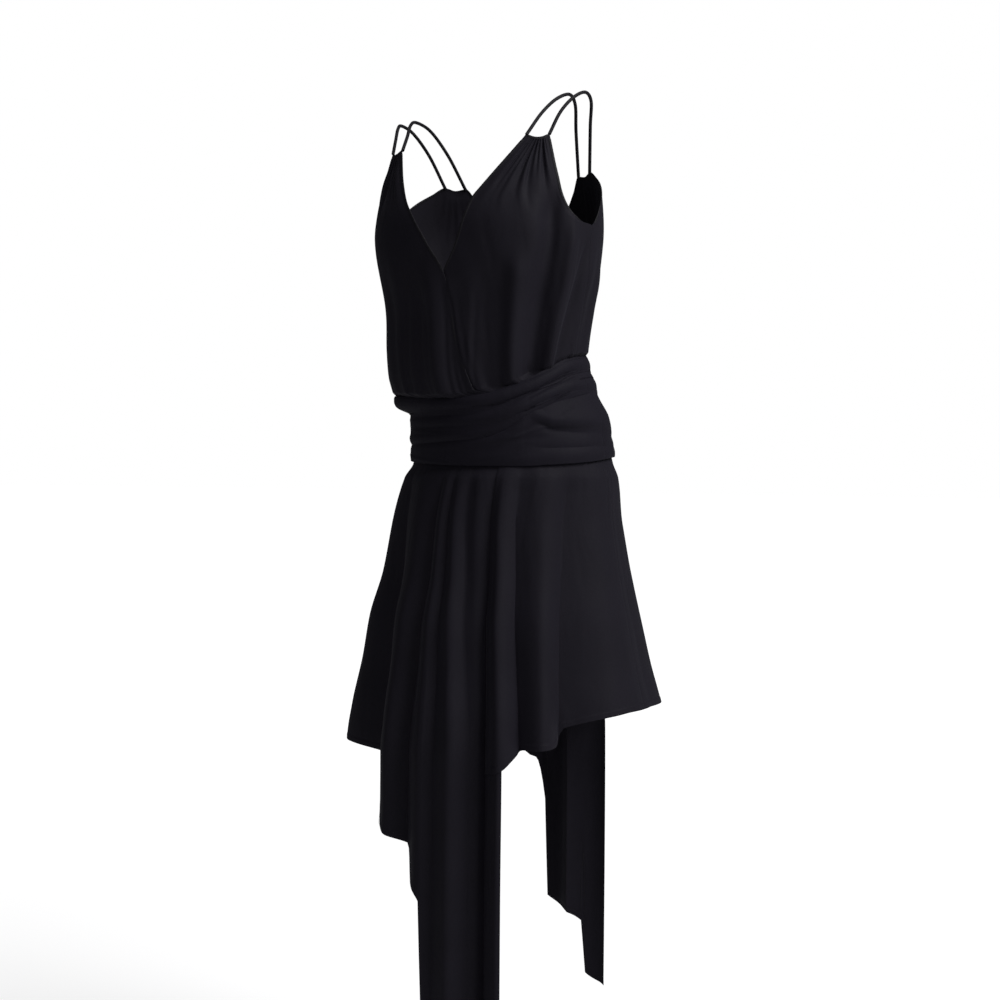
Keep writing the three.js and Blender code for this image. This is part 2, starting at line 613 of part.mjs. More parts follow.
// Hem heights. The right panel is short at the side and falls in steps to its two long points.
const rightHemSteps = [
  { turn: -195, z: -1190 },
  { turn: -187.5, z: -1176 },
  { turn: -186, z: -1104 },
  { turn: -171, z: -1076 },
  { turn: -170, z: -940 },
  { turn: -167, z: -880 },
  { turn: -152, z: -862 },
  { turn: -139, z: -850 },
  { turn: -113, z: -836 },
  { turn: -88, z: -828 },
  { turn: -62, z: -829 },
  { turn: -36, z: -836 },
  { turn: -28, z: -918 },
  { turn: -12, z: -945 },
  { turn: -9.8, z: -986 },
  { turn: -5, z: -1005 },
  { turn: -4, z: -1134 },
  { turn: 4, z: -1142 },
  { turn: 13, z: -1152 },
  { turn: 24.5, z: -1162 },
];
const rightHem = curveThrough(rightHemSteps, "turn", "z");
const leftHem = curveThrough(
  [
    { turn: 17.6, z: -846 },
    { turn: 24, z: -838 },
    { turn: 28, z: -825 },
    { turn: 32, z: -814 },
    { turn: 44.5, z: -811 },
    { turn: 48.5, z: -789 },
    { turn: 79, z: -773 },
    { turn: 116, z: -775 },
    { turn: 150, z: -790 },
    { turn: 176, z: -806 },
  ],
  "turn",
  "z",
);

// Panels share the same row heights above this list's end, so that layers lie evenly on each other.
const sharedHeights = [waistSeam - seamGap, -436, -463, -482, -510, -600, -680, -762];
const lastShared = sharedHeights.length - 1;
const rightEdges = { front: 24.5, side: -88, back: -195 };
const leftEdges = { front: 17.6, side: 88, back: 176 };
const edgeStops = [rightEdges, leftEdges].flatMap(({ front, back }) => [front, back, back + 360, back - 360]);

function rowHeight(row, hem) {
  if (row >= lastShared) return mix(sharedHeights[lastShared], hem, row - lastShared);
  const i = Math.max(0, Math.floor(row));
  return mix(sharedHeights[i], sharedHeights[i + 1], row - i);
}
const columnSpacing = 4.5;
function skirtColumns(from, to, hemTurns) {
  const wanted = [...foldLines.map((fold) => fold.low), ...edgeStops, ...hemTurns];
  const inside = wanted.filter((turn) => turn > from + 0.8 && turn < to - 0.8).sort((a, b) => a - b);
  const apart = inside.filter((turn, i) => i === 0 || turn - inside[i - 1] > 0.8);
  const stops = [from, ...apart, to];
  return stops.slice(1).flatMap((end, i) => {
    const between = Math.ceil((end - stops[i]) / columnSpacing);
    return span(stops[i], end, between).slice(i ? 1 : 0);
  });
}
function skirtPanel(name, [from, to], hem, { lowRows, hemTurns, raised }) {
  const surface = (column, row) => skirtPoint(column, rowHeight(row, hem(column)));
  const rows = [...sharedHeights.keys(), ...lowRows.map((share) => lastShared + share)];
  const columns = skirtColumns(from, to, hemTurns);
  addPiece(name, clothWall({ surface, columns, rows, thickness: clothThickness, raised }), black);
}
const rightOver = (column) => layerStep * fade(-168, -178, column);
const leftOver = (column) => layerStep * fade(40, 27, column);
const right = { lowRows: [0.1, 0.25, 0.45, 0.7, 1], hemTurns: rightHemSteps.map((row) => row.turn) };
const left = { lowRows: [0.5, 1], hemTurns: [] };
const { front, side, back } = rightEdges;
skirtPanel("skirt_right_front", [side, front], rightHem, { ...right, raised: () => 0 });
skirtPanel("skirt_right_back", [back, side - seamTurn], rightHem, { ...right, raised: rightOver });
skirtPanel("skirt_left_front", [leftEdges.front, leftEdges.side], leftHem, { ...left, raised: leftOver });
const leftBack = [leftEdges.side + seamTurn, leftEdges.back];
skirtPanel("skirt_left_back", leftBack, leftHem, { ...left, raised: () => 0 });

export default dress;
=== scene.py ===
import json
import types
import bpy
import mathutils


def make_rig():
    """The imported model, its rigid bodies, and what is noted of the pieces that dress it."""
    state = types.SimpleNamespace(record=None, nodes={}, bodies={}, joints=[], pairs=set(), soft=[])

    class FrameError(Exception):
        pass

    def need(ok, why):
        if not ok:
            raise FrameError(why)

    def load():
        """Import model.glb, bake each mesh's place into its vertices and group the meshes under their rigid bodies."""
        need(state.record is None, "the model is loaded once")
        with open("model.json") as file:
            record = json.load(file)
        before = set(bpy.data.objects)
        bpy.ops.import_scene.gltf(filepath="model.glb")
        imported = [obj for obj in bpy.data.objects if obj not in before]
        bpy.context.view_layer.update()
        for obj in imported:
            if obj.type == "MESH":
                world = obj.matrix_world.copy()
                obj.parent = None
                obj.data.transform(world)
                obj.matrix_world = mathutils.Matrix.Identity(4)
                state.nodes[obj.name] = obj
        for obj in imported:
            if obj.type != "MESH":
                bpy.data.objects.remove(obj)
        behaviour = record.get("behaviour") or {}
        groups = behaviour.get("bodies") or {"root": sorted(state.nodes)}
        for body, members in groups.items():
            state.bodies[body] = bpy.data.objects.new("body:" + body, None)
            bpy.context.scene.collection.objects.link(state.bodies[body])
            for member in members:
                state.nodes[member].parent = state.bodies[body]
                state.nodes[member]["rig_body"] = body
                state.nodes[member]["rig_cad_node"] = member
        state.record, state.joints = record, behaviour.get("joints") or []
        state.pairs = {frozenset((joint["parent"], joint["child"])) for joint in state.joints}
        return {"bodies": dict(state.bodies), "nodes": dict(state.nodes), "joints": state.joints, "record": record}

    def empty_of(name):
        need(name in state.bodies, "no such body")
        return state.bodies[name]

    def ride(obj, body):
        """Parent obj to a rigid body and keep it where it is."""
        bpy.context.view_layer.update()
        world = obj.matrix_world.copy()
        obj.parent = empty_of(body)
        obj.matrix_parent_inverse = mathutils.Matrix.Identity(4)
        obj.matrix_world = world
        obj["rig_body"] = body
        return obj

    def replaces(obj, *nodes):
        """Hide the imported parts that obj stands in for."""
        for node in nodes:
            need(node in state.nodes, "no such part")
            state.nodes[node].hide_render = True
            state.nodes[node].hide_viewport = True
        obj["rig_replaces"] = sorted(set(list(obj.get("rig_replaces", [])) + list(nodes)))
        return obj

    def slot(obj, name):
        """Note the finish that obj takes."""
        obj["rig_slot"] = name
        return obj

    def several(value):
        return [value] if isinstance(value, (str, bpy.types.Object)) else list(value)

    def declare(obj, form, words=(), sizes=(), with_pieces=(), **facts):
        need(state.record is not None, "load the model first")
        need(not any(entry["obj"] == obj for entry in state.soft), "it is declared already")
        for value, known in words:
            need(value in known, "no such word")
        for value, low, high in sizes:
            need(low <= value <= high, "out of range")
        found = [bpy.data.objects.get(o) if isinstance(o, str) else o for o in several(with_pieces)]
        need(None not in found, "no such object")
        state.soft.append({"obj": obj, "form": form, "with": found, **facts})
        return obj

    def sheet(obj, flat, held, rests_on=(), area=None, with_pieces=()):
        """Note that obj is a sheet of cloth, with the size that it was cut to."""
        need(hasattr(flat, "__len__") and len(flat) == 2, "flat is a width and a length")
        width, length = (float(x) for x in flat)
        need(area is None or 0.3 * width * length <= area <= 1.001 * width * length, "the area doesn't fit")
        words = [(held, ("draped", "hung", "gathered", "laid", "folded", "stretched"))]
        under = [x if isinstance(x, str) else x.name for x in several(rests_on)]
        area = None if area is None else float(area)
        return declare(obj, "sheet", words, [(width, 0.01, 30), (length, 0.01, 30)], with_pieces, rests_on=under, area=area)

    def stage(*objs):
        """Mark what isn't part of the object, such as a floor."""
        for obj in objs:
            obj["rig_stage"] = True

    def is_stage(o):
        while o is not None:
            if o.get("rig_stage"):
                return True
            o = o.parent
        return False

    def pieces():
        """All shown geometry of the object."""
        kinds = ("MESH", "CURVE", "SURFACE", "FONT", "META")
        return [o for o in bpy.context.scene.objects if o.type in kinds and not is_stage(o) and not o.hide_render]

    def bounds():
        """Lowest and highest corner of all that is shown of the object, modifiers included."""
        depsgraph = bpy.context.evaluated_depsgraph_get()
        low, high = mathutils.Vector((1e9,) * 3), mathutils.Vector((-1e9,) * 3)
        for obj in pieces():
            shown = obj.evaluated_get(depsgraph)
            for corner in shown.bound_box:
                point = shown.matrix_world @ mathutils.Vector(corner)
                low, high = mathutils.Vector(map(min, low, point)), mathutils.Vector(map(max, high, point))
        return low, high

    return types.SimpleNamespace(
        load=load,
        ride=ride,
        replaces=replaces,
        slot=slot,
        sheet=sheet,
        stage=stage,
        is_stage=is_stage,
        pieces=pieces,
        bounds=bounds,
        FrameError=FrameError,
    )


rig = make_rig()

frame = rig.load()
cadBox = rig.bounds()

# A wrap dress in its worn shape: thin shells on the frame's panels with their fine creases, then the
# bindings, straps and stitches. Sizes and tables are in millimetres, and every mesh is made in metres.
# A place on the dress is a turn and a height. The turn is in degrees round the body: 0 at the centre
# front, positive towards the wearer's left (+X), 180 at the centre back.
import json
import math

import bpy
import numpy as np
from mathutils import Vector

mm = 0.001
cloth = {
    "thickness": 0.7,
    "sashThickness": 1.1,
    "layerStep": 1.4,  # a layer laid over another
    "lapStep": 1.1,
    "waistSeam": -410,
    "sideSeam": 85,
    "seamGap": 0.3,
    "seamRadius": 150,
    "edgeWidth": 6,  # bindings and narrow hems
    "rimRound": 0.4,  # how far the rim bulges, as a share of the thickness
}


def level(place):
    return 0 * place


def mix(a, b, share):
    return a + (b - a) * share


def hump(distance, spread):
    return np.exp(-((distance / spread) ** 2))


def fade(none, full, value):
    share = np.clip((value - none) / (full - none), 0, 1)
    return share * share * (3 - 2 * share)


def unit(vectors):
    return vectors / np.maximum(np.linalg.norm(vectors, axis=-1, keepdims=True), 1e-9)


# a smooth curve through (place, value) rows that never overshoots them
def curveThrough(rows):
    at, value = np.array(sorted(rows), float).T
    slope = np.diff(value) / np.diff(at)
    product = slope[:-1] * slope[1:]
    total = np.where(product > 0, slope[:-1] + slope[1:], 1)
    tangent = np.concatenate([slope[:1], np.where(product > 0, 2 * product / total, 0), slope[-1:]])

    def curve(x):
        x = np.clip(x, at[0], at[-1])
        i = np.clip(np.searchsorted(at, x, side="right") - 1, 0, len(at) - 2)
        width = at[i + 1] - at[i]
        f = (x - at[i]) / width
        straight = mix(value[i], value[i + 1], f * f * (3 - 2 * f))
        return straight + width * f * (1 - f) * ((1 - f) * tangent[i] - f * tangent[i + 1])

    return curve


# every column of a table as a curve over its first column
def curves(names, rows):
    made = {name: curveThrough([(row[0], row[k + 1]) for row in rows]) for k, name in enumerate(names)}
    return lambda x: {name: curve(x) for name, curve in made.items()}


def refine(stops, count):
    return np.concatenate([np.linspace(a, b, count, endpoint=False) for a, b in zip(stops, stops[1:])]
                          + [[stops[-1]]])


# rings that the cloth hangs on: height, centre x and y, half width and half depth
ringColumns = ("x", "y", "width", "depth")
drapeRing = curves(ringColumns, [
    (-30, 0, 0, 146, 80), (-53, 0, 0, 148, 89), (-100, 0, -1, 153, 106), (-163, 0, -2, 156, 120),
    (-216, 0, -3, 151, 119), (-268, -2, -3, 143, 114), (-314, -5, -4, 139, 111),
    (-347, -6, -3, 136, 109), (-370, -3, -2, 133, 107), (-400, 2, 0, 131, 106),
])
waistRing = curves(ringColumns, [
    (-325, 3, 0, 119, 104), (-350, 6, 3, 121, 104), (-380, 14, 8, 125, 105), (-405, 23, 12, 128, 107),
    (-430, 24, 14, 131, 109), (-463, 24, 16, 137, 112),
])
skirtRing = curves(ringColumns, [
    (-405, 23, 12, 128, 107), (-430, 24, 14, 131, 109), (-463, 24, 16, 137, 112),
    (-482, 21, 17, 146, 123), (-545, 15, 16, 158, 135), (-604, 15, 15, 169, 145),
    (-663, 13, 13, 185, 158), (-722, 14, 14, 197, 169), (-782, 15, 14, 212, 182),
    (-830, 15, 14, 219, 188), (-1000, 18, 6, 219, 189), (-1205, 22, -4, 218, 188),
])


def ringPoint(ring, turn, height, outward=0.0):
    angle = np.radians(turn)
    return np.stack([
        ring["x"] + (ring["width"] + outward) * np.sin(angle),
        ring["y"] - (ring["depth"] + outward) * np.cos(angle),
        height + 0 * angle,
    ], axis=-1)


def wrapped(turn):
    return (turn + 180) % 360 - 180


# the sash's edges: turn, top and bottom of the upper wrap, then turn and bottom of the band
wrapEdges = curves(("top", "bottom"), [
    (-180, -362, -412), (-120, -374, -432), (-64, -377, -434), (-30, -380, -433), (-12, -382, -430),
    (2, -381, -429), (14, -379, -424), (22, -376, -417), (31, -371, -406), (40, -365, -396),
    (48, -359, -389), (60, -348, -381), (78, -333, -373), (105, -328, -367), (140, -344, -388),
    (180, -362, -412),
])
bandBottom = curveThrough([
    (-180, -458), (-70, -459), (-20, -463), (20, -464), (60, -461), (110, -454), (180, -458),
])


def sashTop(turn):
    return wrapEdges(wrapped(turn))["top"]


# A grid of points on a surface, raised along its normals. Columns run towards the wearer's left and
# rows run down, so the normals point outward.
def surfaceNormals(surface, column, row, columns, rows):
    sideways = 1e-4 * abs(columns[-1] - columns[0])
    downward = 1e-4 * abs(rows[-1] - rows[0])
    across = surface(column + sideways, row) - surface(column - sideways, row)
    down = surface(column, row + downward) - surface(column, row - downward)
    return unit(np.cross(down, across))


def raisedPoints(surface, column, row, columns, rows, raise_):
    normal = surfaceNormals(surface, column, row, columns, rows)
    return surface(column, row) + normal * raise_[..., None]


def raisedGrid(surface, columns, rows, raised):
    column, row = np.meshgrid(columns, rows, indexing="ij")
    return raisedPoints(surface, column, row, columns, rows, raised(column, row) + 0 * column)


# uneven small folds: place along an edge, how far out, how wide and how far each one reaches
def unevenFolds(seed, count, start, end, out, wide, reach):
    random = np.random.default_rng(seed)
    place = start + (np.arange(count) + random.uniform(0.1, 0.9, count)) * (end - start) / count
    sizes = [random.uniform(low, high, count) for low, high in (out, wide, reach)]
    return np.stack([place, *sizes], axis=1)


def addObject(name, data):
    made = bpy.data.objects.new(name, data)
    bpy.context.scene.collection.objects.link(made)
    return made


def addMesh(name, points, faces, uv=None, sharpAngle=50):
    mesh = bpy.data.meshes.new(name)
    mesh.from_pydata((np.asarray(points) * mm).tolist(), [], faces)
    if uv is not None:
        layer = mesh.uv_layers.new(name="cloth")
        corners = np.empty(len(mesh.loops), np.int32)
        mesh.loops.foreach_get("vertex_index", corners)
        layer.data.foreach_set("uv", (uv[corners] * mm).astype(np.float32).ravel())
    mesh.shade_smooth()
    mesh.set_sharp_from_angle(angle=math.radians(sharpAngle))
    mesh.validate()
    return addObject(name, mesh)


def quadsBetween(here, beside):
    return np.stack([here[:-1], beside[:-1], beside[1:], here[1:]], axis=-1).reshape(-1, 4)


# a closed thin shell inside a grid of outer points, with a rounded rim and lengths of cloth as its UVs
def shell(name, outer, thickness):
    normal = unit(np.cross(np.gradient(outer, axis=1), np.gradient(outer, axis=0)))
    inner = outer - normal * thickness
    wide, long = outer.shape[:2]
    size = wide * long
    index = np.arange(size).reshape(wide, long)
    rim = np.concatenate([index[:-1, 0], index[-1, :-1], index[:0:-1, -1], index[0, :0:-1]])
    inward = np.concatenate([index[:-1, 1], index[-2, :-1], index[:0:-1, -2], index[1, :0:-1]])
    flatOuter, flatInner = outer.reshape(-1, 3), inner.reshape(-1, 3)
    away = unit(flatOuter[rim] - flatOuter[inward])
    edge = (flatOuter[rim] + flatInner[rim]) / 2 + away * thickness * cloth["rimRound"]
    quads = quadsBetween(index[:, :-1], index[:, 1:])
    after = np.roll(rim, -1)
    middle = 2 * size + np.arange(len(rim))
    nextMiddle = np.roll(middle, -1)
    faces = np.concatenate([
        quads,
        quads[:, ::-1] + size,
        np.stack([rim, after, nextMiddle, middle], axis=1),
        np.stack([middle, nextMiddle, after + size, rim + size], axis=1),
    ])
    sideLength = np.linalg.norm(np.diff(outer, axis=0), axis=2).cumsum(axis=0)
    downLength = np.linalg.norm(np.diff(outer, axis=1), axis=2).cumsum(axis=1)
    u = np.vstack([np.zeros((1, long)), sideLength])
    v = np.hstack([np.zeros((wide, 1)), downLength])
    uv = np.stack([u.ravel(), -v.ravel()], axis=1)
    points = np.concatenate([flatOuter, flatInner, edge])
    return addMesh(name, points, faces.tolist(), np.concatenate([uv, uv, uv[rim]]))


# a node group of either kind, with its named inputs and outputs
def newGroup(treeKind, name, inputs, outputs):
    tree = bpy.data.node_groups.new(name, treeKind)
    for label, kind, *value in inputs:
        socket = tree.interface.new_socket(label, in_out="INPUT", socket_type="NodeSocket" + kind)
        if value:
            socket.default_value = value[0]
    for label, kind in outputs:
        tree.interface.new_socket(label, in_out="OUTPUT", socket_type="NodeSocket" + kind)
    return tree, tree.nodes.new("NodeGroupInput"), tree.nodes.new("NodeGroupOutput")


def addNode(tree, kind, settings=None, **values):
    node = tree.nodes.new(kind)
    for key, value in (settings or {}).items():
        setattr(node, key, value)
    for key, value in values.items():
        socket = node.inputs[int(key[2:]) if key.startswith("at") else key.replace("_", " ")]
        if isinstance(value, bpy.types.NodeSocket):
            tree.links.new(value, socket)
        else:
            socket.default_value = value
    return node


def calculate(tree, operation, a, b):
    return addNode(tree, "ShaderNodeMath", {"operation": operation}, at0=a, at1=b).outputs[0]


# A noise drawn out one way. The shader groups give heights and masks only, and each material keeps its own
# shader.
def drawnNoise(tree, vector, along, **settings):
    drawn = addNode(tree, "ShaderNodeVectorMath", {"operation": "MULTIPLY"}, at0=vector, at1=along)
    return addNode(tree, "ShaderNodeTexNoise", Vector=drawn.outputs[0], **settings).outputs["Fac"]


# pebbled crepe: two fine noises, one drawn out along the warp, and a slow cloudiness
def makeCrepeGrain():
    tree, given, result = newGroup(
        "ShaderNodeTree", "crepeGrain",
        [("Vector", "Vector"), ("Pebbles per metre", "Float", 1300.0), ("Clouds per metre", "Float", 14.0),
         ("Crinkle", "Float", 0.5)],
        [("Height", "Float"), ("Cloud", "Float")],
    )
    vector, pebbles, clouds, crinkle = given.outputs[:4]
    fine = addNode(tree, "ShaderNodeTexNoise", Vector=vector, Scale=pebbles, Detail=2.0, Roughness=0.55)
    crimp = drawnNoise(tree, vector, (1.0, 0.34, 1.0), Scale=pebbles, Detail=1.0, Distortion=0.6)
    both = addNode(tree, "ShaderNodeMix", Factor=crinkle, at2=fine.outputs["Fac"], at3=crimp)
    cloud = addNode(tree, "ShaderNodeTexNoise", Vector=vector, Scale=clouds, Detail=3.0, Roughness=0.6)
    tree.links.new(both.outputs[0], result.inputs["Height"])
    tree.links.new(cloud.outputs["Fac"], result.inputs["Cloud"])
    return tree


# soft hand creases too slight for the mesh, drawn out down the cloth
def makeHandCreases():
    tree, given, result = newGroup(
        "ShaderNodeTree", "handCreases",
        [("Vector", "Vector"), ("Creases per metre", "Float", 30.0), ("Long", "Vector", (1.0, 1.0, 0.3))],
        [("Height", "Float")],
    )
    vector, creases, long = given.outputs[:3]
    soft = drawnNoise(tree, vector, long, Scale=creases, Detail=2.0, Distortion=0.5)
    smooth = addNode(tree, "ShaderNodeMapRange", {"interpolation_type": "SMOOTHSTEP"}, Value=soft,
                     From_Min=0.3, From_Max=0.72)
    tree.links.new(smooth.outputs["Result"], result.inputs["Height"])
    return tree


finishes = {
    "blackCrepe": {
        "dark": (0.0063, 0.0051, 0.0096), "light": (0.0100, 0.0084, 0.0152), "clouds": 11.0,
        "roughness": (0.66, 0.82), "pebbles": 1250.0, "crinkle": 0.55, "grainHeight": 0.00022,
        "creases": 26.0, "creaseHeight": 0.0011, "sheen": 0.03, "sheenRoughness": 0.5, "specular": 0.20,
    },
    "sashCrepe": {
        "dark": (0.0067, 0.0056, 0.0104), "light": (0.0105, 0.0089, 0.0161), "clouds": 14.0,
        "roughness": (0.66, 0.82), "pebbles": 1350.0, "crinkle": 0.5, "grainHeight": 0.0002,
        "creases": 34.0, "creaseHeight": 0.0008, "sheen": 0.02, "sheenRoughness": 0.5, "specular": 0.17,
    },
    "bindingCrepe": {
        "dark": (0.0054, 0.0047, 0.0072), "light": (0.0086, 0.0076, 0.0112), "clouds": 40.0,
        "roughness": (0.55, 0.70), "pebbles": 1600.0, "crinkle": 0.4, "grainHeight": 0.00016,
        "creases": 260.0, "creaseHeight": 0.0003, "sheen": 0.03, "sheenRoughness": 0.4, "specular": 0.26,
    },
    "blackThread": {
        "dark": (0.0060, 0.0058, 0.0066), "light": (0.0095, 0.0092, 0.0104), "clouds": 300.0,
        "roughness": (0.42, 0.56), "pebbles": 4200.0, "crinkle": 0.9, "grainHeight": 0.00006,
        "creases": 900.0, "creaseHeight": 0.00002, "sheen": 0.05, "sheenRoughness": 0.4, "specular": 0.42,
    },
}


def makeFinish(name, look, grain, creases, onCloth):
    material = bpy.data.materials.new(name)
    material.use_nodes = True
    tree = material.node_tree
    shader = tree.nodes["Principled BSDF"]
    place = addNode(tree, "ShaderNodeTexCoord")
    along = place.outputs["UV" if onCloth else "Object"]
    weave = addNode(tree, "ShaderNodeGroup", {"node_tree": grain}, Vector=along,
                    Pebbles_per_metre=look["pebbles"], Clouds_per_metre=look["clouds"],
                    Crinkle=look["crinkle"])
    hand = addNode(tree, "ShaderNodeGroup", {"node_tree": creases}, Vector=place.outputs["Object"],
                   Creases_per_metre=look["creases"])
    colour = addNode(tree, "ShaderNodeMix", {"data_type": "RGBA"}, Factor=weave.outputs["Cloud"],
                     at6=(*look["dark"], 1.0), at7=(*look["light"], 1.0))
    tree.links.new(colour.outputs[2], shader.inputs["Base Color"])
    rough = addNode(tree, "ShaderNodeMapRange", Value=weave.outputs["Height"], From_Min=0.3, From_Max=0.7,
                    To_Min=look["roughness"][1], To_Max=look["roughness"][0])
    tree.links.new(rough.outputs["Result"], shader.inputs["Roughness"])
    wide = addNode(tree, "ShaderNodeBump", Height=hand.outputs["Height"], Strength=0.6,
                   Distance=look["creaseHeight"])
    fine = addNode(tree, "ShaderNodeBump", Height=weave.outputs["Height"], Strength=0.7,
                   Distance=look["grainHeight"], Normal=wide.outputs["Normal"])
    tree.links.new(fine.outputs["Normal"], shader.inputs["Normal"])
    shader.inputs["Sheen Weight"].default_value = look["sheen"]
    shader.inputs["Sheen Roughness"].default_value = look["sheenRoughness"]
    shader.inputs["Sheen Tint"].default_value = (0.82, 0.80, 1.0, 1.0)
    shader.inputs["Specular IOR Level"].default_value = look["specular"]
    return material


crepeGrain, handCreases = makeCrepeGrain(), makeHandCreases()
finish = {name: makeFinish(name, look, crepeGrain, handCreases, name in ("blackCrepe", "sashCrepe"))
          for name, look in finishes.items()}
finishOfSlot = {"crepe": "blackCrepe", "sash": "sashCrepe", "binding": "bindingCrepe"}
print("finishes ready:", ", ".join(finish))


# a finished piece rides on the one body and takes its place in the frame
def settle(piece, slot, *nodes):
    if not piece.data.materials:
        piece.data.materials.append(finish[finishOfSlot[slot]])
    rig.ride(piece, "root")
    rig.slot(piece, slot)
    if nodes:
        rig.replaces(piece, *nodes)
    return piece


# Bodice folds: turn at bust height and at the waist, how far out (in, where negative), how wide in
# degrees, and the heights between which each shows.
bodiceFolds = [
    (-62, -58, -2, 7, -190, -390), (-50, -46, 0.8, 6, -200, -390), (-40, -36, -1.6, 5.5, -190, -390),
    (-31, -31, 0.9, 5, -170, -390), (-23, -25.5, -2.4, 4.4, -180, -390),
    (-15.5, -14.5, -2.6, 4, -190, -390), (-7, -1.5, 4.5, 5, -200, -390),
    (7, 12, -2.5, 4.5, -220, -390), (22, 26, -5.5, 6.5, -200, -385),
    (38.5, 40.5, 5.5, 5.5, -180, -385), (54, 51.5, -11.5, 6, -105, -385), (68, 63, 5, 5, -140, -380),
    (80, 62.5, -5, 3.5, -160, -350), (89, 76, 3, 5, -170, -375),
    (101, 98, 4, 7, -190, -370), (125, 124, -5, 8, -200, -370), (143, 146, 5, 8, -200, -380),
    (162, 165, -5, 8, -220, -385), (180, 183, 4, 8, -240, -385), (199, 197, -5, 8, -220, -385),
    (218, 214, 5, 8, -200, -385), (238, 236, -5, 8, -190, -385), (258, 258, 4, 7, -190, -385),
]
bodiceForm = {
    "bust": -200, "waist": -390, "foldFade": 55, "foldRound": 270, "easeAtWaist": 0.4, "easeHigh": 25,
    "freeShare": 0.76, "topSag": 5, "sagEnds": 0.2,
    "edgeColumn": 1 / 34, "edgeRadius": 138, "widestEdge": 0.22,
    "fullness": {"turn": 37, "height": -172, "out": 9, "wide": 27, "high": 62},
    "lift": 3.5 / 116, "liftBegins": (-170, -60),  # the wearer's left shoulder is a little higher
    "gathers": {"count": 5, "high": 1.1, "fullest": 0.13, "gone": 0.36},
    "underlap": {"start": 0.3, "full": -1.6, "deep": 3.4, "rise": 2.4, "riseEnds": 10,
                 "below": (-222, -246)},
    "rows": [0, 0.03, 0.08, 0.13, 0.19, 0.25, 0.32, 0.38, 0.44, 0.54, 0.62, 0.7, 0.76, 0.82, 0.87, 0.91,
             0.95, 1],
    "sashRows": [(0.82, 9), (0.87, 5), (0.91, 1), (0.95, -7)],  # share of the way down, over the sash
    "backFree": -290, "turnsIn": (9, 1),  # above and below the sash's top edge
    "tuck": {"out": 5, "turn": -72, "wide": 26, "slouched": 15},  # fills the sash's top edge
}


# share of the way down from bust height to the waist
def belowBust(height):
    return (height - bodiceForm["bust"]) / (bodiceForm["waist"] - bodiceForm["bust"])


def foldsAt(turn, height):
    last = bodiceForm["foldRound"]
    place = np.where(turn < last - 360, turn + 360, np.where(turn > last, turn - 360, turn))
    total = 0
    for bust, waist, out, wide, high, low in bodiceFolds:
        below = fade(high, high - bodiceForm["foldFade"], height)
        above = 1 - bodiceForm["easeAtWaist"] * fade(low + bodiceForm["easeHigh"], low, height)
        total = total + out * below * above * hump(place - mix(bust, waist, belowBust(height)), wide)
    return total


# just over the sash the draped cloth turns in to lie on the fitted waist, fuller where the sash slouches
def bodicePoint(turn, height, inward=0.0, folds=1.0):
    bust = bodiceForm["fullness"]
    sideways = hump(np.abs(wrapped(turn)) - bust["turn"], bust["wide"])
    full = bust["out"] * sideways * hump(height - bust["height"], bust["high"])
    draped = ringPoint(drapeRing(height), turn, height, full + folds * foldsAt(turn, height) - inward)
    over = height - sashTop(turn)
    far, near = bodiceForm["turnsIn"]
    tuck = bodiceForm["tuck"]
    filled = tuck["out"] + tuck["slouched"] * hump(wrapped(turn) - tuck["turn"], tuck["wide"])
    fitted = ringPoint(waistRing(height), turn, height, filled * fade(-far, -near, over))
    point = mix(draped, fitted, fade(far, near, over)[..., None])
    point[..., 2] = height + bodiceForm["lift"] * point[..., 0] * fade(*bodiceForm["liftBegins"], height)
    return point


def panelHeight(turn, down, freeHeight):
    stops = [(bodiceForm["freeShare"], freeHeight)]
    stops += [(share, sashTop(turn) + over) for share, over in bodiceForm["sashRows"]]
    stops.append((1, cloth["waistSeam"]))
    height = freeHeight + 0 * turn
    for (a, upper), (b, lower) in zip(stops, stops[1:]):
        height = np.where(down > a, mix(upper, lower, (down - a) / (b - a)), height)
    return height


# front panel edges: share of the way down, turn of the left and right armhole, height
armholeEdge = curves(("left", "right", "z"), [
    (0, 52, 52, -51.5), (0.08, 55, 57, -76), (0.16, 58, 65, -101), (0.25, 62, 72, -129),
    (0.32, 67, 77, -147), (0.38, 75, 81, -158), (0.44, 85, 85, -162), (0.54, 85, 85, -200),
    (0.62, 85, 85, -234), (0.7, 85, 85, -267), (0.76, 85, 85, -290),
])
rightCrossoverRows = [
    (0, -38.5, -51.5), (0.08, -34.5, -73), (0.17, -28.5, -101), (0.25, -22.5, -126), (0.34, -15, -153),
    (0.44, -7, -187), (0.54, 1, -222), (0.62, 4.5, -256), (0.7, 7.5, -295), (0.76, 12.5, -336),
    (0.82, 16.5, -336), (0.91, 21, -336), (1, 28, -336),
]
rightCrossover = curves(("turn", "z"), rightCrossoverRows)
leftCrossover = curves(("turn", "z"), [
    (0, 38.5, -51.5), (0.09, 28, -84), (0.19, 18.5, -115), (0.25, 14.5, -130), (0.34, 11, -156),
    (0.44, 7, -189), (0.54, 1, -222), (0.76, -5, -305), (1, -12, -305),
])
rightEdgeAt = curveThrough([(z, turn) for _, turn, z in rightCrossoverRows[:10]]
                           + [(cloth["waistSeam"], 28)])


def columnShare(across, strip):
    edge = bodiceForm["edgeColumn"]
    middle = mix(strip, 1 - strip, (across - edge) / (1 - 2 * edge))
    last = 1 - ((1 - across) / edge) * strip
    return np.where(across < edge, (across / edge) * strip, np.where(across > 1 - edge, last, middle))


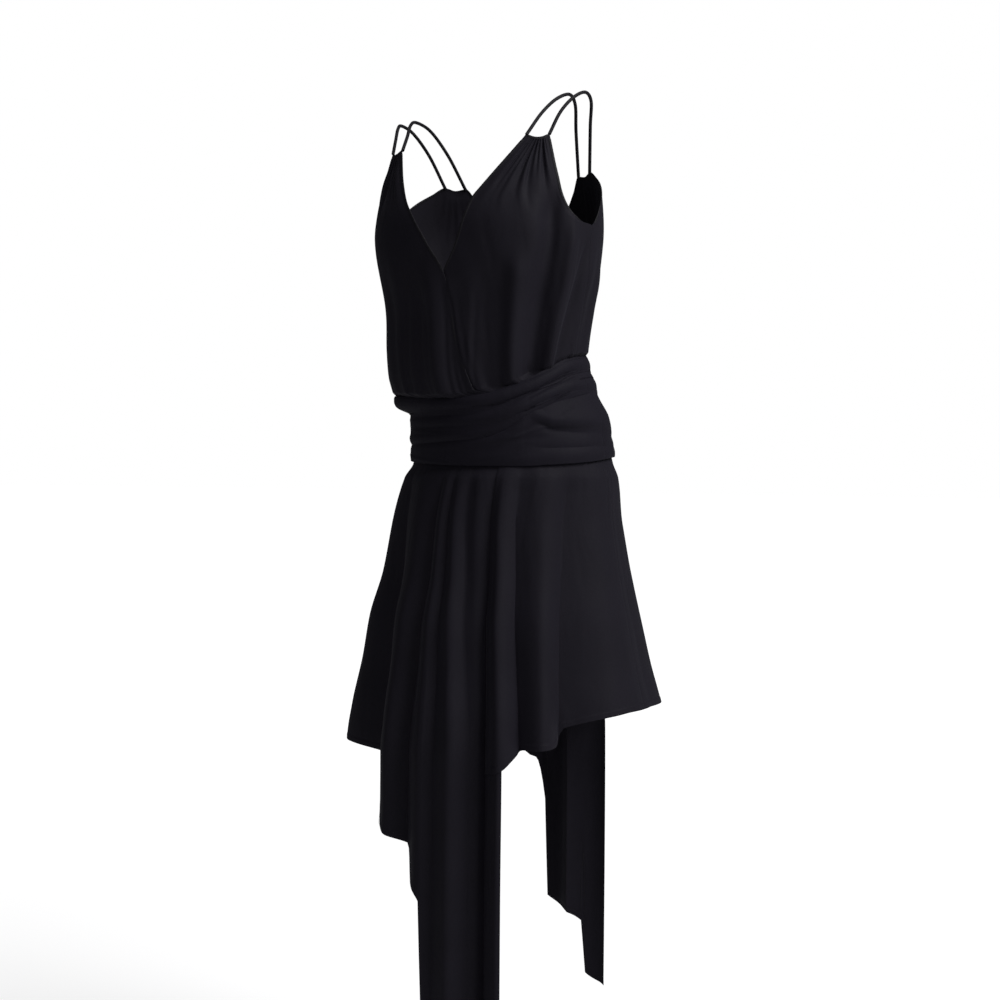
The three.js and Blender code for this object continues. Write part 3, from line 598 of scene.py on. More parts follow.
def frontPlace(side, crossover, across, down):
    outerEdge, innerEdge = armholeEdge(down), crossover(down)
    first = side * (outerEdge["right"] if side < 0 else outerEdge["left"])
    length = np.radians(np.abs(innerEdge["turn"] - first)) * bodiceForm["edgeRadius"]
    share = columnShare(across, np.minimum(cloth["edgeWidth"] / length, bodiceForm["widestEdge"]))
    fromArmhole = share if side < 0 else 1 - share
    turn = mix(first, innerEdge["turn"], fromArmhole)
    dip = bodiceForm["topSag"] * 4 * share * (1 - share) * fade(bodiceForm["sagEnds"], 0, down)
    height = panelHeight(turn, down, mix(outerEdge["z"], innerEdge["z"], fromArmhole) - dip)
    return turn, height


def frontUnder(side, turn, height):
    lap = bodiceForm["underlap"]
    return fade(lap["start"], lap["full"], turn - rightEdgeAt(height)) if side > 0 else 0 * turn


# below the V the left front rises a little beside the lap, so that the lap's edge hardly shows
def besideLap(side, turn, height):
    if side < 0:
        return 0 * turn
    lap = bodiceForm["underlap"]
    away = turn - rightEdgeAt(height)
    return lap["rise"] * fade(lap["riseEnds"], lap["start"], away) * fade(*lap["below"], height)


def frontPanel(side, crossover):
    def surface(across, down):
        turn, height = frontPlace(side, crossover, across, down)
        gathers = bodiceForm["gathers"]
        pinched = fade(0, gathers["fullest"], down) * fade(gathers["gone"], gathers["fullest"], down)
        gather = gathers["high"] * pinched * np.cos(2 * np.pi * gathers["count"] * across)
        under = frontUnder(side, turn, height)
        return bodicePoint(turn, height, gather + bodiceForm["underlap"]["deep"] * under, 1 - under)

    return surface


rightFront, leftFront = frontPanel(-1, rightCrossover), frontPanel(1, leftCrossover)
rightOnTop = lambda across: cloth["lapStep"] * fade(0.3, 0.55, across)

# Gathers under the straps: share of the way from the neck edge to the armhole, how deep, how wide as
# a share, and how far each reaches down.
topGathers = [
    (0.09, 0.7, 0.022, 48), (0.17, 1.1, 0.026, 80), (0.27, 1.6, 0.030, 100), (0.36, 0.9, 0.022, 60),
    (0.45, 1.7, 0.030, 92), (0.56, 2.0, 0.034, 104), (0.66, 1.0, 0.024, 62), (0.79, 1.7, 0.032, 82),
    (0.89, 0.9, 0.024, 60),
]
# banks are the low ridges on both sides of a gather
gatherLook = {
    "banks": 0.42, "bankWide": 1.2, "atTop": 0.45, "begun": 9, "sway": 0.02, "swayEvery": 47,
    "begins": 30, "overSash": (-5, 14),
}
# Gathers that show in front: turn at bust height and at the waist, how far out, how wide in degrees, and
# where each begins.
frontGathers = [
    (-19.5, -20, 0.7, 3, -215), (0.2, 4.5, -1.7, 1.6, -218), (2, 8.9, -1.9, 1.5, -240),
    (-1.7, 14.7, -1.9, 1.5, -262), (7, 17, -1.7, 1.4, -285), (0.3, 22, -1.6, 1.3, -315),
    (17.5, 18.5, -1.4, 1.8, -236), (30, 33.2, -2.2, 3.8, -200), (36.6, 39.2, 1.5, 3.0, -200),
    (57, 54, -2.0, 2.8, -112), (66.5, 61.5, 2.2, 2.8, -118), (46.8, 46.2, -0.9, 1.8, -190),
    (60.5, 57, -0.8, 1.6, -250), (-28, -29, -0.9, 1.9, -262), (-9.8, -7.2, -0.9, 1.8, -262),
]
# Waist puckers over the sash, and longer creases: seed, count, first and last turn, then the ranges of how
# far out, how wide in degrees and how far up.
waistPuckers = {
    "front": unevenFolds(11, 34, -84, 92, (-1.5, 1.0), (1.0, 2.1), (12, 50)),
    "back": unevenFolds(12, 28, 88, 272, (-1.7, 1.3), (1.2, 2.4), (14, 60)),
}
longCreases = {
    "front": unevenFolds(21, 22, -82, 84, (-0.9, 0.7), (1.3, 2.6), (70, 150)),
    "back": unevenFolds(22, 20, 90, 270, (-1.2, 0.9), (1.5, 3.2), (60, 150)),
}
creaseLook = {"lean": 0.085, "turn": 2, "wide": 46, "lowest": 70, "step": 19, "ends": (-9, -1)}


# puckers and creases lean with the big folds: those in front slant down to the wearer's left
def waistCreases(part, turn, height):
    over = height - sashTop(turn)
    lean = creaseLook["lean"] * hump(turn - creaseLook["turn"], creaseLook["wide"])
    place = turn + lean * over if part == "front" else turn
    total = 0 * turn
    for centre, out, wide, reach in waistPuckers[part]:
        total = total + out * hump(place - centre, wide) * fade(reach, reach * 0.15, over)
    for k, (centre, out, wide, reach) in enumerate(longCreases[part]):
        middle = creaseLook["lowest"] + creaseLook["step"] * ((k * 5) % 7)
        total = total + out * hump(place - centre, wide) * hump(over - middle, reach * 0.45)
    return total * fade(*creaseLook["ends"], over)


def frontCreases(side, crossover, across, down):
    turn, height = frontPlace(side, crossover, across, down)
    fromNeck = across if side > 0 else 1 - across
    _, top = frontPlace(side, crossover, across, 0 * down)
    below = top - height
    overSash = fade(*gatherLook["overSash"], height - sashTop(turn))
    total = waistCreases("front", turn, height)
    for bust, waist, out, wide, high in frontGathers:
        along = hump(turn - mix(bust, waist, belowBust(height)), wide)
        total = total + out * along * fade(high, high - gatherLook["begins"], height) * overSash
    begun = mix(gatherLook["atTop"], 1, fade(0, gatherLook["begun"], below))
    for place, deep, wide, reach in topGathers:
        sway = gatherLook["sway"] * np.sin(below / gatherLook["swayEvery"] + 9 * place)
        drift = fromNeck - place - sway
        bank = wide * gatherLook["bankWide"]
        banks = hump(drift - 2 * wide, bank) + hump(drift + 2 * wide, bank)
        trough = hump(drift, wide) - gatherLook["banks"] * banks
        total = total - deep * trough * fade(reach, reach * 0.3, below) * begun
    edges = fade(0, 0.07, across) * fade(1, 0.93, across)
    return (total * edges + besideLap(side, turn, height)) * (1 - frontUnder(side, turn, height))


bodiceLook = {
    "columns": 4, "rows": 9,
    "seam": {"deep": 0.7, "wide": 1.3, "panelDegrees": 100, "begins": (0.42, 0.46)},
}
frontColumns = refine(np.linspace(0, 1, 35), bodiceLook["columns"])
frontRows = refine(bodiceForm["rows"], bodiceLook["rows"])


def seamDip(away):
    seam = bodiceLook["seam"]
    return -seam["deep"] * hump(away, seam["wide"])


pieces = {}
for name, node, side, surface, crossover, lying in (
    ("rightBodice", "bodice_front_right", -1, rightFront, rightCrossover, rightOnTop),
    ("leftBodice", "bodice_front_left", 1, leftFront, leftCrossover, level),
):
    def raised(across, down):
        sideEdge = across if side < 0 else 1 - across
        look = bodiceLook["seam"]
        seam = seamDip(sideEdge * look["panelDegrees"]) * fade(*look["begins"], down)
        return lying(across) + frontCreases(side, crossover, across, down) + seam

    outer = raisedGrid(surface, frontColumns, frontRows, raised)
    pieces[name] = settle(shell(name, outer, cloth["thickness"]), "crepe", node)
print("bodice fronts hung")

# back: turn and height of its top edge, scooped between two strap points
backTop = curveThrough([
    (85, -162), (91, -150), (97, -136), (105, -120), (114, -106), (124, -94), (133, -84), (139, -88),
    (145, -86), (151, -105), (158, -126), (168, -147), (180, -155),
])
seamTurn = math.degrees(cloth["seamGap"] / cloth["seamRadius"])
# Gathers at each strap point: turn, how deep, how wide in degrees and how far down. They spread below it.
backGathers = [(134.5, 1.2, 1.3, 60), (137, 1.6, 1.2, 105), (139.5, 1.9, 1.3, 140), (142, 1.4, 1.2, 85),
               (144.3, 1.0, 1.2, 55)]
strapPoint = {"turn": 139.5, "height": -86, "spread": 60, "widen": 0.7}


def halfTurn(turn):
    return np.where(turn > 180, 360 - turn, turn)


def backHeight(turn, down):
    share = np.minimum(down / bodiceForm["freeShare"], 1)
    return panelHeight(turn, down, mix(backTop(halfTurn(turn)), bodiceForm["backFree"], share))


def backPoint(turn, down):
    return bodicePoint(turn, backHeight(turn, down))


def backCreases(turn, down):
    height = backHeight(turn, down)
    total = waistCreases("back", turn, height)
    below = strapPoint["height"] - height
    spread = 1 + below / strapPoint["spread"]
    for place, deep, wide, reach in backGathers:
        drift = halfTurn(turn) - mix(strapPoint["turn"], place, spread)
        trough = hump(drift, wide * spread ** strapPoint["widen"])
        total = total - deep * trough * fade(reach, reach * 0.3, below)
    near = np.minimum(turn - cloth["sideSeam"], 360 - cloth["sideSeam"] - turn)
    return total * fade(0, 0.06, down) + seamDip(near)


backTopRow = 0.045
halfTurns = [cloth["sideSeam"] + seamTurn, 88, 91, 97, 101, 105, 109.5, 114, 119, 124, 128.5, 133, 139, 145,
             151, 158, 163, 168, 174, 180]
backColumns = refine(halfTurns + [360 - turn for turn in halfTurns[-2::-1]], 5)
backRows = refine([0, backTopRow, 0.225, 0.43, 0.62, 0.76, 0.82, 0.87, 0.91, 0.95, 1], 13)
outer = raisedGrid(backPoint, backColumns, backRows, backCreases)
pieces["backBodice"] = settle(shell("backBodice", outer, cloth["thickness"]), "crepe", "bodice_back")
print("bodice back hung")

# Bindings: narrow folded strips that close over the panels' edges.
bindingLook = {"half": 0.75, "over": 0.6, "wide": 4.0, "segments": 12, "square": 2.7, "ripple": 0.08,
               "rippleEvery": 4.6, "tips": (0.35, 0.8),
               "sunk": 0.5, "pressed": (0.48, 0.56)}  # sunk where the lap is pressed, below the V


def sweep(name, centres, across, normal, halfWidth, halfThick):
    turns = np.linspace(0, 2 * np.pi, bindingLook["segments"], endpoint=False)
    power = 2 / bindingLook["square"]
    x = np.sign(np.cos(turns)) * np.abs(np.cos(turns)) ** power
    y = np.sign(np.sin(turns)) * np.abs(np.sin(turns)) ** power
    tips = bindingLook["tips"]
    ends = np.concatenate([tips, np.ones(len(centres) - 4), tips[::-1]])
    wide = (halfWidth[:, None] * x)[..., None] * across[:, None]
    thick = (halfThick[:, None] * y)[..., None] * normal[:, None]
    rings = centres[:, None] + ends[:, None, None] * (wide + thick)
    index = np.arange(rings[..., 0].size).reshape(rings.shape[:2])
    quads = quadsBetween(index, np.roll(index, -1, axis=1))
    faces = quads.tolist() + [index[0, ::-1].tolist(), index[-1].tolist()]
    if np.cross(across[0], normal[0]) @ (centres[1] - centres[0]) < 0:  # the faces would look inward
        faces = [face[::-1] for face in faces]
    return addMesh(name, rings.reshape(-1, 3), faces, sharpAngle=70)


# a strip from an edge line towards an inner line, both given as columns and rows on a surface
def binding(name, node, surface, edge, inner, columns, rows, under, sunk=0.0):
    normal = surfaceNormals(surface, *edge, columns, rows)

    def inCloth(column, row):
        lying = under(column) - sunk * fade(*bindingLook["pressed"], row) - cloth["thickness"] / 2
        return surface(column, row) + normal * lying[:, None]

    first, last = inCloth(*edge), inCloth(*inner)
    across = unit(first - last)
    normal = unit(normal - across * (normal * across).sum(axis=1, keepdims=True))
    halfWidth = np.full(len(first), bindingLook["wide"] / 2)
    centres = first + across * (bindingLook["over"] - halfWidth[:, None])
    length = np.concatenate([[0], np.linalg.norm(np.diff(centres, axis=0), axis=1).cumsum()])
    pucker = np.sin(2 * np.pi * length / bindingLook["rippleEvery"] + 1.3 * np.sin(length / 7))
    halfThick = bindingLook["half"] + bindingLook["ripple"] * pucker
    piece = sweep(name, centres, across, normal, halfWidth, halfThick)
    return settle(piece, "binding", node)


def line(column, row):
    return np.broadcast_arrays(np.asarray(column, float), np.asarray(row, float))


topRow, edgeColumn, tucked = 0.03, bodiceForm["edgeColumn"], 0.95
topRun = np.linspace(0, 1, 90)
armRows = refine([0.02, 0.08, 0.19, 0.3, 0.38], 22)
bindings = {}
for side, label, surface, lying, neckEnd in (
    (-1, "right", rightFront, rightOnTop, tucked), (1, "left", leftFront, level, 0.54),
):
    neck, arm = (1.0, 0.0) if side < 0 else (0.0, 1.0)
    neckRows = refine([0.02, 0.08, 0.19, 0.32, 0.44, neckEnd], 34)
    for where, edge, inner, sunk in (
        ("top", line(topRun, 0.0), line(topRun, topRow), 0.0),
        ("neck", line(neck, neckRows), line(abs(neck - edgeColumn), neckRows), bindingLook["sunk"]),
        ("armhole", line(arm, armRows), line(abs(arm - edgeColumn), armRows), 0.0),
    ):
        name = f"{where}Binding_{label}"
        bindings[name] = binding(name, f"binding_{where}_{label}", surface, edge, inner, (0, 1), (0, 1),
                                 lying, sunk)
for name, node, start, end in (
    ("backNeckBinding", "binding_back_neck", 145, 215),
    ("backArmholeBinding_left", "binding_back_armhole_left", 88, 133),
    ("backArmholeBinding_right", "binding_back_armhole_right", 227, 272),
):
    run = np.linspace(start, end, 150)
    bindings[name] = binding(name, node, backPoint, line(run, 0.0), line(run, backTopRow),
                             backColumns, backRows, level)
print("bindings folded over the edges:", len(bindings))

# Rolled straps, two on each shoulder, as tubes on a path: x, y and z of the points over the shoulder. Each
# is sewn on at a corner of the front's top and so many degrees from the centre back.
strapLook = {
    "radius": 2.2, "sides": 14, "shoulderLift": 8 / 116, "sunk": -1.2, "points": 90,
    "fromBack": {"inner": 35, "outer": 47},
    "inner": [(101, -44, -28), (110, -22, -9), (116, 0, -1), (111, 26, -8), (99, 52, -38)],
    "outer": [(124, -37, -29), (133, -17, -9), (139, 0, -2), (136, 22, -8), (124, 44, -36)],
}


# a centripetal curve through points, evenly parted
def smoothPath(points, count):
    p = np.array(points, float)
    p = np.vstack([2 * p[0] - p[1], p, 2 * p[-1] - p[-2]])
    knot = np.concatenate([[0], np.sqrt(np.linalg.norm(np.diff(p, axis=0), axis=1)).cumsum()])
    made = []
    for k in range(1, len(p) - 2):
        t = np.linspace(knot[k], knot[k + 1], 60, endpoint=False)[:, None]
        blend = lambda a, b, i, j: mix(a, b, (t - knot[i]) / (knot[j] - knot[i]))
        before, here, after = [blend(p[i], p[i + 1], i, i + 1) for i in (k - 1, k, k + 1)]
        made.append(blend(blend(before, here, k - 1, k + 1), blend(here, after, k, k + 2), k, k + 1))
    path = np.vstack(made + [p[-2:-1]])
    length = np.concatenate([[0], np.linalg.norm(np.diff(path, axis=0), axis=1).cumsum()])
    even = np.linspace(0, length[-1], count)
    return np.stack([np.interp(even, length, path[:, k]) for k in range(3)], axis=1)


# Geometry Nodes trees are built here with named inputs, and their result is kept as a plain mesh.
def newTree(name, inputs):
    return newGroup("GeometryNodeTree", name, [("Geometry", "Geometry"), *inputs, ("Cloth", "Material")],
                    [("Geometry", "Geometry")])


# ends a tree with real meshes, shaded smooth, in the given cloth
def endTree(tree, given, result, geometry):
    real = addNode(tree, "GeometryNodeRealizeInstances", Geometry=geometry)
    smooth = addNode(tree, "GeometryNodeSetShadeSmooth", Geometry=real.outputs["Geometry"])
    dressed = addNode(tree, "GeometryNodeSetMaterial", Geometry=smooth.outputs["Geometry"],
                      Material=given.outputs["Cloth"])
    tree.links.new(dressed.outputs["Geometry"], result.inputs["Geometry"])
    return tree


def strapTree():
    tree, given, result = newTree("rolledStrap", [("Radius", "Float", 0.002), ("Sides", "Int", 12)])
    wire, radius, sides = given.outputs[:3]
    path = addNode(tree, "GeometryNodeMeshToCurve", Mesh=wire)
    section = addNode(tree, "GeometryNodeCurvePrimitiveCircle", Resolution=sides, Radius=radius)
    tube = addNode(tree, "GeometryNodeCurveToMesh", Curve=path.outputs["Curve"],
                   Profile_Curve=section.outputs["Curve"], Fill_Caps=True)
    return endTree(tree, given, result, tube.outputs["Mesh"])


def stitchTree():
    tree, given, result = newTree("runningStitch", [
        ("Pitch", "Float", 0.003), ("Length", "Float", 0.0021), ("Thread", "Float", 0.0004),
        ("Uneven", "Float", 0.12), ("Seed", "Int", 5),
    ])
    wire, pitch, length, thread, uneven, seed = given.outputs[:6]
    path = addNode(tree, "GeometryNodeMeshToCurve", Mesh=wire)
    places = addNode(tree, "GeometryNodeCurveToPoints", {"mode": "LENGTH"}, Curve=path.outputs["Curve"],
                     Length=pitch)
    bead = addNode(tree, "GeometryNodeMeshUVSphere", Segments=6, Rings=4, Radius=0.5)
    low, high = calculate(tree, "SUBTRACT", 1.0, uneven), calculate(tree, "ADD", 1.0, uneven)
    vary = addNode(tree, "FunctionNodeRandomValue", {"data_type": "FLOAT"}, at2=low, at3=high, Seed=seed)
    long = calculate(tree, "MULTIPLY", length, vary.outputs[1])
    size = addNode(tree, "ShaderNodeCombineXYZ", X=thread, Y=thread, Z=long)
    sewn = addNode(tree, "GeometryNodeInstanceOnPoints", Points=places.outputs["Points"],
                   Instance=bead.outputs["Mesh"], Rotation=places.outputs["Rotation"],
                   Scale=size.outputs["Vector"])
    return endTree(tree, given, result, sewn.outputs["Instances"])


# runs a tree on an open path and keeps its result as a plain mesh
def grow(name, tree, path, settings):
    wire = bpy.data.meshes.new(name + "_path")
    wire.from_pydata((path * mm).tolist(), [(k, k + 1) for k in range(len(path) - 1)], [])
    piece = addObject(name, wire)
    modifier = piece.modifiers.new("grow", "NODES")
    modifier.node_group = tree
    for socket in tree.interface.items_tree:
        if socket.item_type == "SOCKET" and socket.in_out == "INPUT" and socket.name in settings:
            modifier[socket.identifier] = settings[socket.name]
    bpy.context.view_layer.update()
    ready = piece.evaluated_get(bpy.context.evaluated_depsgraph_get())
    mesh = bpy.data.meshes.new_from_object(ready)
    piece.modifiers.clear()
    piece.data = mesh
    mesh.name = name
    bpy.data.meshes.remove(wire)
    return piece


rolledStrap, runningStitch = strapTree(), stitchTree()
straps = {}
for side, label, panel in ((1, "left", leftFront), (-1, "right", rightFront)):
    for which, across in (("inner", (1 - side) / 2), ("outer", (1 + side) / 2)):
        over = [(side * x, y, z + strapLook["radius"] + side * strapLook["shoulderLift"] * x)
                for x, y, z in strapLook[which]]
        start = panel(np.array(across), np.array(0.0)) + (0, 0, strapLook["sunk"])
        backTurn = 180.0 - side * strapLook["fromBack"][which]
        end = backPoint(np.array(backTurn), np.array(0.0)) + (0, 0, strapLook["sunk"])
        path = smoothPath([start, *over, end], strapLook["points"])
        name = f"{which}Strap_{label}"
        piece = grow(name, rolledStrap, path, {
            "Radius": strapLook["radius"] * mm, "Sides": strapLook["sides"],
            "Cloth": finish["bindingCrepe"]})
        straps[name] = settle(piece, "binding", f"strap_{which}_{label}")
print("straps rolled:", len(straps))

# Sash: a band all round and a pleated wrap over it.
sashLook = {
    "bandRaise": 5.6, "wrapRaise": 7.8, "seam": 88, "seamShare": 0.8,
    "bandUnder": 10, "bandShows": (2, -5), "roll": {"out": 0.6, "at": 3, "wide": 4},  # at the band's foot
    "footIn": 2.2, "footHigh": 16, "lipIn": 0.9, "wrapRound": 0.9,
    "slouch": {"turn": -72, "wide": 24, "out": 16, "from": 0.3, "to": 0.1},
}
# the wrap's soft rolls: turn, then the share of the way down, how far out and how wide, as shares
wrapRolls = [curves(("down", "out", "wide"), rows) for rows in (
    [(-180, 0.10, 1.2, 0.09), (-30, 0.09, 1.4, 0.07), (15, 0.08, 2.5, 0.065), (45, 0.10, 3.0, 0.07),
     (60, 0.13, 2.7, 0.08), (82, 0.16, 2.3, 0.09), (120, 0.14, 1.5, 0.10), (180, 0.10, 1.2, 0.09)],
    [(-180, 0.34, -0.6, 0.10), (-40, 0.36, -0.4, 0.12), (4, 0.36, -0.8, 0.12), (22, 0.30, -2.6, 0.15),
     (36, 0.30, -3.0, 0.16), (52, 0.42, -1.8, 0.12), (62, 0.48, -0.9, 0.09), (82, 0.42, -1.3, 0.07),
     (120, 0.40, -1.0, 0.09), (180, 0.34, -0.6, 0.10)],
    [(-180, 0.60, 1.0, 0.13), (-40, 0.56, 0.6, 0.12), (4, 0.54, 1.4, 0.10), (22, 0.58, 2.5, 0.11),
     (47, 0.68, 3.4, 0.12), (62, 0.70, 3.0, 0.12), (90, 0.80, 2.4, 0.10), (180, 0.60, 1.0, 0.13)],
    [(-180, 0.92, 0.8, 0.07), (-30, 0.93, 0.9, 0.06), (10, 0.93, 0.6, 0.06), (40, 0.97, 0.4, 0.05),
     (90, 0.60, 0.9, 0.06), (180, 0.92, 0.8, 0.07)],
)]
# the band's fold: turn, then its crest's height, how far out, and how it falls away above and below
bandCrest = curves(("z", "out", "above", "below"), [
    (-180, -431, 0.0, 6, 6), (-64, -443, 0.8, 6, 6), (-26, -441, 1.5, 5, 6), (2, -437.5, 2.1, 5, 7),
    (19, -429, 3.3, 4.4, 7), (30.5, -414, 4.0, 5, 8), (38.5, -400.5, 3.2, 6, 7),
    (44.9, -405.5, 4.0, 6.5, 4), (48.8, -408.6, 4.8, 10, 3.8), (57, -409.4, 4.8, 13, 4.4),
    (72, -409.2, 3.9, 16, 5), (86, -410, 3.0, 16, 6), (112, -413, 0.6, 12, 7), (180, -431, 0.0, 6, 6),
])
# and its slighter ones: how wide each is, then its turns, heights and how far out it is there
bandFolds = [(wide, curves(("z", "out"), rows)) for wide, rows in (
    (5.5, [(-180, -440, 0), (38, -414, 0), (50, -420.5, -2.2), (66, -423.5, -1.8), (84, -425, -0.6),
           (180, -440, 0)]),
    (3.4, [(-180, -446, 0), (30, -441, 0), (46, -443, -1.0), (66, -442.5, -1.3), (84, -440.5, -0.8),
           (180, -446, 0)]),
    (5.5, [(-180, -452, 0.8), (-20, -455, 0.6), (20, -456, 1.2), (60, -453, 1.4), (110, -448, 1),
           (180, -452, 0.8)]),
)]


# slight creases along the sash: turn, share down, half length in degrees, lean, out and width
def sashCreases(seed, count):
    random = np.random.default_rng(seed)
    return np.stack([
        random.uniform(-180, 180, count), random.uniform(0.08, 0.94, count), random.uniform(10, 42, count),
        random.uniform(-0.004, 0.004, count), random.uniform(-0.9, 0.9, count),
        random.uniform(0.025, 0.06, count),
    ], axis=1)


wrapCreases, bandCreases = sashCreases(31, 46), sashCreases(32, 34)


def creasesAlong(rows, turn, down):
    place = wrapped(turn)
    total = 0 * turn
    for at, share, half, lean, out, wide in rows:
        along = wrapped(place - at)
        total = total + out * hump(along, half) * hump(down - share - lean * along, wide)
    return total * fade(0, 0.05, down) * fade(1, 0.95, down)


def bandPoint(turn, down):
    place = wrapped(turn)
    bottom = bandBottom(place)
    height = mix(sashTop(turn) - sashLook["bandUnder"], bottom, down)
    crest = bandCrest(place)
    above = height - crest["z"]
    folds = crest["out"] * hump(above, np.where(above > 0, crest["above"], crest["below"]))
    for wide, fold in bandFolds:
        line = fold(place)
        folds = folds + line["out"] * hump(height - line["z"], wide)
    shown = fade(*sashLook["bandShows"], height - wrapEdges(place)["bottom"])
    foot = sashLook["roll"]
    roll = foot["out"] * hump(height - bottom - foot["at"], foot["wide"])
    roll = roll - sashLook["footIn"] * fade(sashLook["footHigh"], 0, height - bottom)
    return ringPoint(waistRing(height), turn, height, shown * folds + roll)


def wrapPoint(turn, down):
    place = wrapped(turn)
    edges = wrapEdges(place)
    slouch = sashLook["slouch"]
    height = mix(edges["top"], edges["bottom"], down)
    loose = slouch["out"] * hump(place - slouch["turn"], slouch["wide"])
    loose = loose * fade(slouch["from"], slouch["to"], down)
    rolls = sashLook["wrapRound"] * np.sqrt(np.clip(4 * down * (1 - down), 0, 1))
    for roll in wrapRolls:
        line = roll(place)
        rolls = rolls + line["out"] * hump(down - line["down"], line["wide"])
    rolls = rolls * fade(0, 0.03, down) * fade(1, 0.97, down) - sashLook["lipIn"] * fade(0.94, 1, down)
    return ringPoint(waistRing(height), turn, height, rolls + loose)


seam = sashLook["seam"]
stretches = {
    "front": np.linspace(-seam, seam, 150),
    "back": np.linspace(seam + seamTurn, 360 - seam - seamTurn, 130),
}
for part, columns in stretches.items():
    for layer, surface, rows, raise_, creases in (
        ("band", bandPoint, np.linspace(0, 1, 56), sashLook["bandRaise"], bandCreases),
        ("wrap", wrapPoint, np.linspace(0, 1, 64), sashLook["wrapRaise"], wrapCreases),
    ):
        def raised(turn, down):
            near = np.minimum(np.abs(wrapped(turn) - seam), np.abs(wrapped(turn) + seam))
            return raise_ + creasesAlong(creases, turn, down) + sashLook["seamShare"] * seamDip(near)

        name = f"{layer}Sash_{part}"
        outer = raisedGrid(surface, columns, rows, raised)
        pieces[name] = settle(shell(name, outer, cloth["sashThickness"]), "sash", f"sash_{layer}_{part}")
print("sash wound")

# Skirt folds: turn under the sash and at hem height, and how far inside the ring each line lies there.
skirtFolds = [
    (-172, -173.5, 0, 0), (-165, -165, 4, 25), (-157, -157, 0, 1), (-148, -149, 4, 25),
    (-138, -139, 0, 1), (-126, -127, 5, 27), (-113, -113, 0, 1), (-100, -100, 5, 25), (-88, -88, 0, 3),
    (-76, -77, 4, 24), (-62, -62, 0, 0), (-43, -37, 6, 33), (-24, -21, 0, 0), (-13.7, -14, 5, 20),
    (-9.5, -6, 0, 2), (-5.6, -1.2, 4, 10), (-2, 5.2, 0, 0), (3.6, 11.6, 4, 16), (9.2, 14.4, 0, 18),
    (17.8, 17.6, 5, 27), (21.8, 23, 0, 0), (30, 30.3, 7, 22), (43.5, 38, 0, 0), (57.5, 46.3, 9, 28),
    (80.5, 69, 0, 1), (97, 97, 2, 8), (116, 116, 0, 0), (129, 129, 4, 24), (141, 141, 0, 1),
    (153, 153, 4, 24), (168, 167, 0, 0), (179, 179, 4, 20),
]
skirtForm = {
    "foldsBegin": (-458, -500), "foldsGrow": (-490, -800), "spacing": 0.95, "grow": 0.85,
    "crisp": 0.6, "fall": 2.2, "rise": 1.2,  # crests are round, valleys crisp on the wearer's left
    "heights": [-410.3, -436, -463, -482, -510, -600, -680, -762],
    "rightEdges": {"front": 24.5, "side": -88, "back": -195},
    "leftEdges": {"front": 17.6, "side": 88, "back": 176},
    "millimetresPerDegree": 3.6, "seamShare": 0.5, "sashFoot": -462,
    "shows": (-470, -490),  # hems and seams end under the sash
    "plain": {"turn": 60, "within": (38, 18), "least": 0.35},  # the left front hangs plainer
    "edgeSteps": [0, 0.5, 1.0, 1.5, 2.0, 2.5],
}
foldLines = np.array([(under + turn, low + turn, underIn, lowIn)
                      for turn in (-360, 0, 360) for under, low, underIn, lowIn in skirtFolds])


# a column is named by its turn at hem height and slants to its turn under the sash
def skirtPoint(column, height):
    low = foldLines[:, 1]
    i = np.searchsorted(low, column, side="right") - 1
    a, b = foldLines[i], foldLines[i + 1]
    share = (column - a[..., 1]) / (b[..., 1] - a[..., 1])
    falling = b[..., 3] > a[..., 3]
    fromCrest = np.where(falling, share, 1 - share)
    crisp = fromCrest ** np.where(falling, skirtForm["fall"], skirtForm["rise"])
    deep = mix((1 - np.cos(np.pi * fromCrest)) / 2, crisp, skirtForm["crisp"])
    soft = np.where(falling, deep, 1 - deep)
    start, end = skirtForm["foldsGrow"]
    down = np.clip((height - start) / (end - start), 0, 1)
    turn = mix(mix(a[..., 0], b[..., 0], share), column, down)
    under, atHem = mix(a[..., 2], b[..., 2], soft), mix(a[..., 3], b[..., 3], soft)
    inward = mix(under, atHem, down ** skirtForm["grow"])
    return ringPoint(skirtRing(height), turn, height, -inward * fade(*skirtForm["foldsBegin"], height))


rightHemSteps = [
    (-195, -1190), (-187.5, -1176), (-186, -1104), (-171, -1076), (-170, -940), (-167, -880), (-152, -862),
    (-139, -850), (-113, -836), (-88, -828), (-62, -829), (-36, -836), (-28, -918), (-12, -945),
    (-9.8, -986), (-5, -1005), (-4, -1134), (4, -1142), (13, -1152), (24.5, -1162),
]
rightHem = curveThrough(rightHemSteps)
leftHem = curveThrough([
    (17.6, -846), (24, -838), (28, -825), (32, -814), (44.5, -811), (48.5, -789), (79, -773), (116, -775),
    (150, -790), (176, -806),
])

# Small folds of the skirt: under the sash, and waves along the hem.
underSash = unevenFolds(41, 64, -196, 180, (-1.1, 0.8), (1.0, 2.3), (30, 150))
hemWaves = unevenFolds(42, 58, -196, 180, (-1.6, 1.4), (1.5, 3.2), (90, 260))
hemLook = {
    "wide": 7, "raised": 0.5, "groove": 0.35, "grooveWide": 0.8, "frontEdge": 0.35,
    "rows": [0.3, 0.2, 0.15, 0.12, 0.1, 0.085, 0.07, 0.055, 0.04, 0.03, 0.024, 0.019, 0.015, 0.011, 0.007,
             0.004, 0.002, 0],  # shares of the last stretch, up from the hem
}
waveLook = {"highest": -640, "step": 37, "lean": 0.006, "level": -800}


